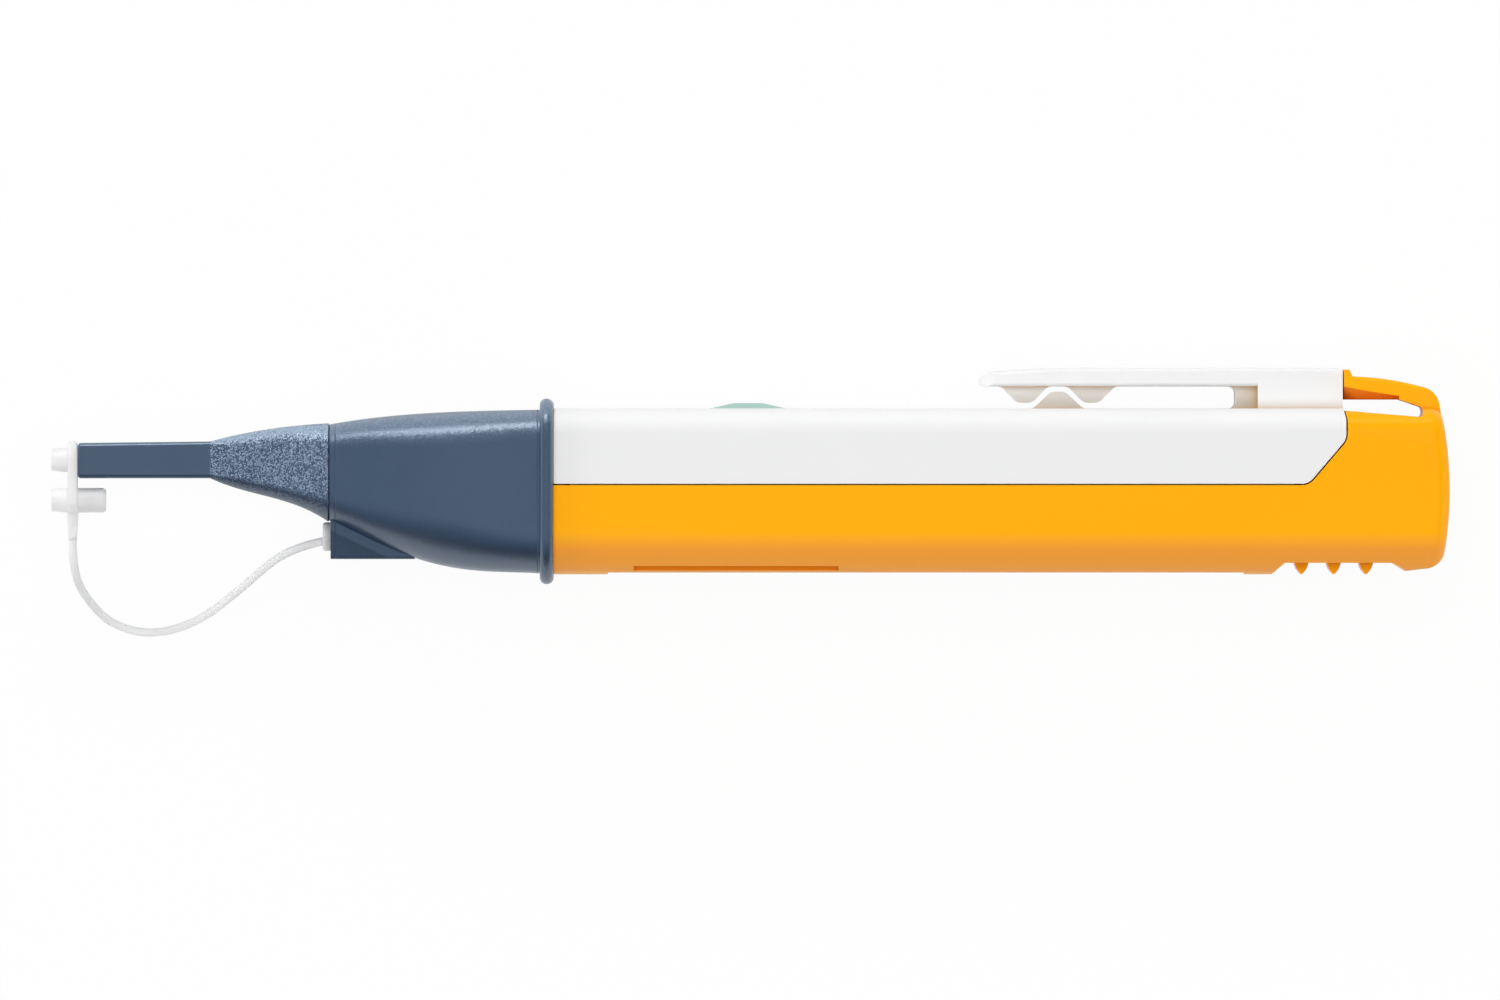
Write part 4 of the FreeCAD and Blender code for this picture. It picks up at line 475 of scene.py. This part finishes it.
def board_finish():
    """Green solder mask over copper runs."""
    finish = Finish("board_green", {"Specular IOR Level": 0.5, "Coat Weight": 0.2})
    runs = finish.node("ShaderNodeTexBrick", {"offset": 0.5}, {
        "Vector": finish.place(turn=(math.pi / 2, 0, 0)), "Scale": 1 / MM, "Mortar Size": 0.06,
        "Mortar Smooth": 0.1, "Brick Width": 3.1, "Row Height": 0.85}, "Fac")
    finish.paint(runs, (0.012, 0.10, 0.035, 1), (0.03, 0.19, 0.06, 1))
    finish.tint(finish.grain(0.9) * 0.4, (0.02, 0.13, 0.05, 1))
    finish.feed("Roughness", 0.28 + 0.15 * finish.grain(0.4))
    finish.bump(0.02 * runs, 0.6)
    return finish.material


def lens_finish():
    """Pale green indicator lens."""
    finish = Finish("led_lens", {"Specular IOR Level": 0.5, "Coat Weight": 0.3})
    finish.paint(finish.grain(0.4), (0.62, 0.82, 0.65, 1), (0.72, 0.90, 0.75, 1))
    finish.feed("Roughness", 0.25 + 0.15 * finish.grain(0.3))
    return finish.material


def tray_finish():
    """Charcoal glass-filled plastic with a rubbed, stippled skin."""
    finish = Finish("tray_plastic", {"Specular IOR Level": 0.4})
    fibre = finish.grain(0.5, stretch=(0.2, 1, 1))
    finish.paint(fibre, (0.022, 0.023, 0.026, 1), (0.045, 0.046, 0.05, 1))
    finish.feed("Roughness", 0.45 + 0.2 * finish.grain(0.6))
    finish.bump(0.015 * finish.cells(0.3) + 0.015 * fibre, 0.5)
    return finish.material


# Bare steel at a cell's two ends, and its coloured band, which reaches that far from the raised end
BARE_FLAT_END = 0.5
BARE_RAISED_END = 1.4
BAND_REACH = 14.0


def cell_finish(name, node):
    """Plain sleeve with a coloured end band, and bare plated steel at both ends."""
    low, high = (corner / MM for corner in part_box(node))
    finish = Finish(name, {"Specular IOR Level": 0.5})
    sleeve = finish.inside("X", low.x + BARE_FLAT_END, high.x - BARE_RAISED_END)
    band = finish.inside("X", high.x - BAND_REACH, high.x - BARE_RAISED_END)
    wrap = finish.mix(band, (0.02, 0.021, 0.024, 1), (0.42, 0.20, 0.06, 1))
    finish.paint(finish.grain(0.8), (0.58, 0.57, 0.54, 1), (0.70, 0.69, 0.66, 1))
    finish.tint(sleeve, wrap)
    finish.feed("Metallic", 1 - sleeve * (1 - 0.55 * band))
    finish.feed("Roughness", 0.24 + 0.1 * finish.grain(0.7) + 0.06 * sleeve)
    finish.bump(0.01 * finish.grain(0.5, stretch=(0.2, 1, 1)) * sleeve, 0.4)
    return finish.material


# Pieces that keep the solid's form, with merged corners and even shading
MERGE_DISTANCE = 0.0005 * MM
CREASE = math.radians(32)


def moulded(node, body, material):
    """A copy of a solid with closed seams between its faces, in the given finish."""
    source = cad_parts[node]
    form = bmesh.new()
    form.from_mesh(source.data)
    bmesh.ops.remove_doubles(form, verts=form.verts, dist=MERGE_DISTANCE)
    mesh = bpy.data.meshes.new(f"{node}_skin")
    form.to_mesh(mesh)
    form.free()
    if "custom_normal" in mesh.attributes:
        mesh.attributes.remove(mesh.attributes["custom_normal"])
    mesh.shade_smooth()
    mesh.set_sharp_from_angle(angle=CREASE)
    mesh.materials.clear()
    mesh.materials.append(material)
    piece = bpy.data.objects.new(f"{node}_skin", mesh)
    scene.collection.objects.link(piece)
    even = piece.modifiers.new("even_shading", "WEIGHTED_NORMAL")
    even.keep_sharp = True
    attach(piece, body)
    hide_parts(node)
    return piece


clear_strap = clear_strap_finish()
plated_steel = plated_finish()
black_epoxy = epoxy_finish()
tray_plastic = tray_finish()

moulded("upper_housing", "housing", white_shell_finish())
moulded("battery_cover", "cover", yellow_shell_finish())
moulded("nose_sleeve", "housing", sleeve_finish())
moulded("probe_tip", "housing", probe_finish())
moulded("push_button", "button", button_finish())
dust_cap = moulded("dust_cap", "cap", clear_strap)
moulded("tether_anchor", "housing", clear_strap)
moulded("sensor_window", "housing", window_finish())
moulded("photodiode", "housing", black_epoxy)
moulded("sensor_leads", "housing", plated_steel)
moulded("circuit_board", "housing", board_finish())
moulded("switch_body", "housing", black_epoxy)
moulded("switch_plunger", "button", tray_plastic)
moulded("indicator_led", "housing", lens_finish())
moulded("buzzer", "housing", black_epoxy)
moulded("microcontroller", "housing", black_epoxy)
moulded("amplifier_chip", "housing", black_epoxy)
moulded("battery_tray", "housing", tray_plastic)
moulded("battery_front", "housing", cell_finish("cell_wrap_front", "battery_front"))
moulded("battery_rear", "housing", cell_finish("cell_wrap_rear", "battery_rear"))
moulded("positive_contact", "housing", plated_steel)
moulded("negative_contact", "housing", plated_steel)
moulded("chassis_screw", "housing", plated_steel)

tether.data.materials.append(strand_finish())
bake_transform(tether)
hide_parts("tether")


# Stage: pale floor that shows as white, dim room and soft studio lamps
FLOOR_RADIUS = 6.0
FLOOR_SIDES = 64
FLOOR_GLOW = 0.96

# Heights on the unit sphere of the room's fade and of the white backdrop's upper edge
ROOM_FADE = (0.05, 0.4)
BACKDROP_EDGE = (0.1, 0.05)


def seen_directly(nodes):
    """One for what the camera, a gloss or a clear piece sees, nought for light that surfaces throw."""
    rays = [nodes.node("ShaderNodeLightPath", {}, {}, f"Is {kind} Ray")
            for kind in ("Camera", "Glossy", "Transmission")]
    return nodes.between(rays[0] + rays[1] + rays[2], 0, 1)


def make_floor():
    """A wide disc that glows white where it is seen and is matt to the light."""
    form = bmesh.new()
    bmesh.ops.create_circle(form, cap_ends=True, segments=FLOOR_SIDES, radius=FLOOR_RADIUS)
    mesh = bpy.data.meshes.new("floor")
    form.to_mesh(mesh)
    form.free()
    floor = bpy.data.objects.new("floor", mesh)
    scene.collection.objects.link(floor)
    finish = Finish("floor", {
        "Base Color": (0.85, 0.85, 0.85, 1), "Roughness": 0.9, "Specular IOR Level": 0.0})
    glow = finish.node("ShaderNodeEmission", {}, {"Color": (1, 1, 1, 1), "Strength": 1.0})
    matt = Value(finish, finish.shader.outputs["BSDF"])
    mixed = finish.node("ShaderNodeMixShader", {}, {
        0: seen_directly(finish) * FLOOR_GLOW, 1: matt, 2: glow})
    finish.give(finish.tree.nodes["Material Output"].inputs["Surface"], mixed)
    mesh.materials.append(finish.material)


def make_world(horizon, overhead):
    """A dim room, paler low down, that shows as white where it meets the floor."""
    world = bpy.data.worlds.new("studio")
    world.use_nodes = True
    scene.world = world
    nodes = Nodes(world.node_tree)
    background = world.node_tree.nodes["Background"]
    nodes.give(background.inputs["Color"], (1, 1, 1, 1))
    height = nodes.part(nodes.node("ShaderNodeTexCoord", {}, {}, "Generated"), "Z")
    room = nodes.between(height, *ROOM_FADE, horizon, overhead)
    backdrop = seen_directly(nodes) * nodes.between(height, *BACKDROP_EDGE, 0, 1 - horizon)
    nodes.give(background.inputs["Strength"], room + backdrop)


def lamp(name, place, size, power, mirrored):
    """A soft lamp that looks at the detector, and shows in glossy surfaces if mirrored."""
    data = bpy.data.lights.new(name, "AREA")
    data.shape = "RECTANGLE"
    data.size, data.size_y = size
    data.energy = power
    holder = bpy.data.objects.new(name, data)
    holder.location = place
    holder.rotation_mode = "QUATERNION"
    holder.rotation_quaternion = (-Vector(place)).to_track_quat("-Z", "Y")
    holder.visible_camera = False
    holder.visible_glossy = mirrored
    scene.collection.objects.link(holder)


make_floor()
make_world(horizon=0.45, overhead=0.08)
lamp("clip_side", place=(-0.2, 0.93, 0.58), size=(0.9, 0.34), power=6.0, mirrored=True)
lamp("overhead", place=(0, 0.1, 1.5), size=(1.2, 1.2), power=14.6, mirrored=False)
lamp("belly_side", place=(0, -1.5, 0.4), size=(1.6, 0.6), power=5.0, mirrored=False)
lamp("nose_end", place=(-1.6, 0, 0.4), size=(0.8, 0.6), power=8.0, mirrored=False)
lamp("tail_end", place=(1.6, 0, 0.4), size=(0.8, 0.6), power=8.0, mirrored=False)
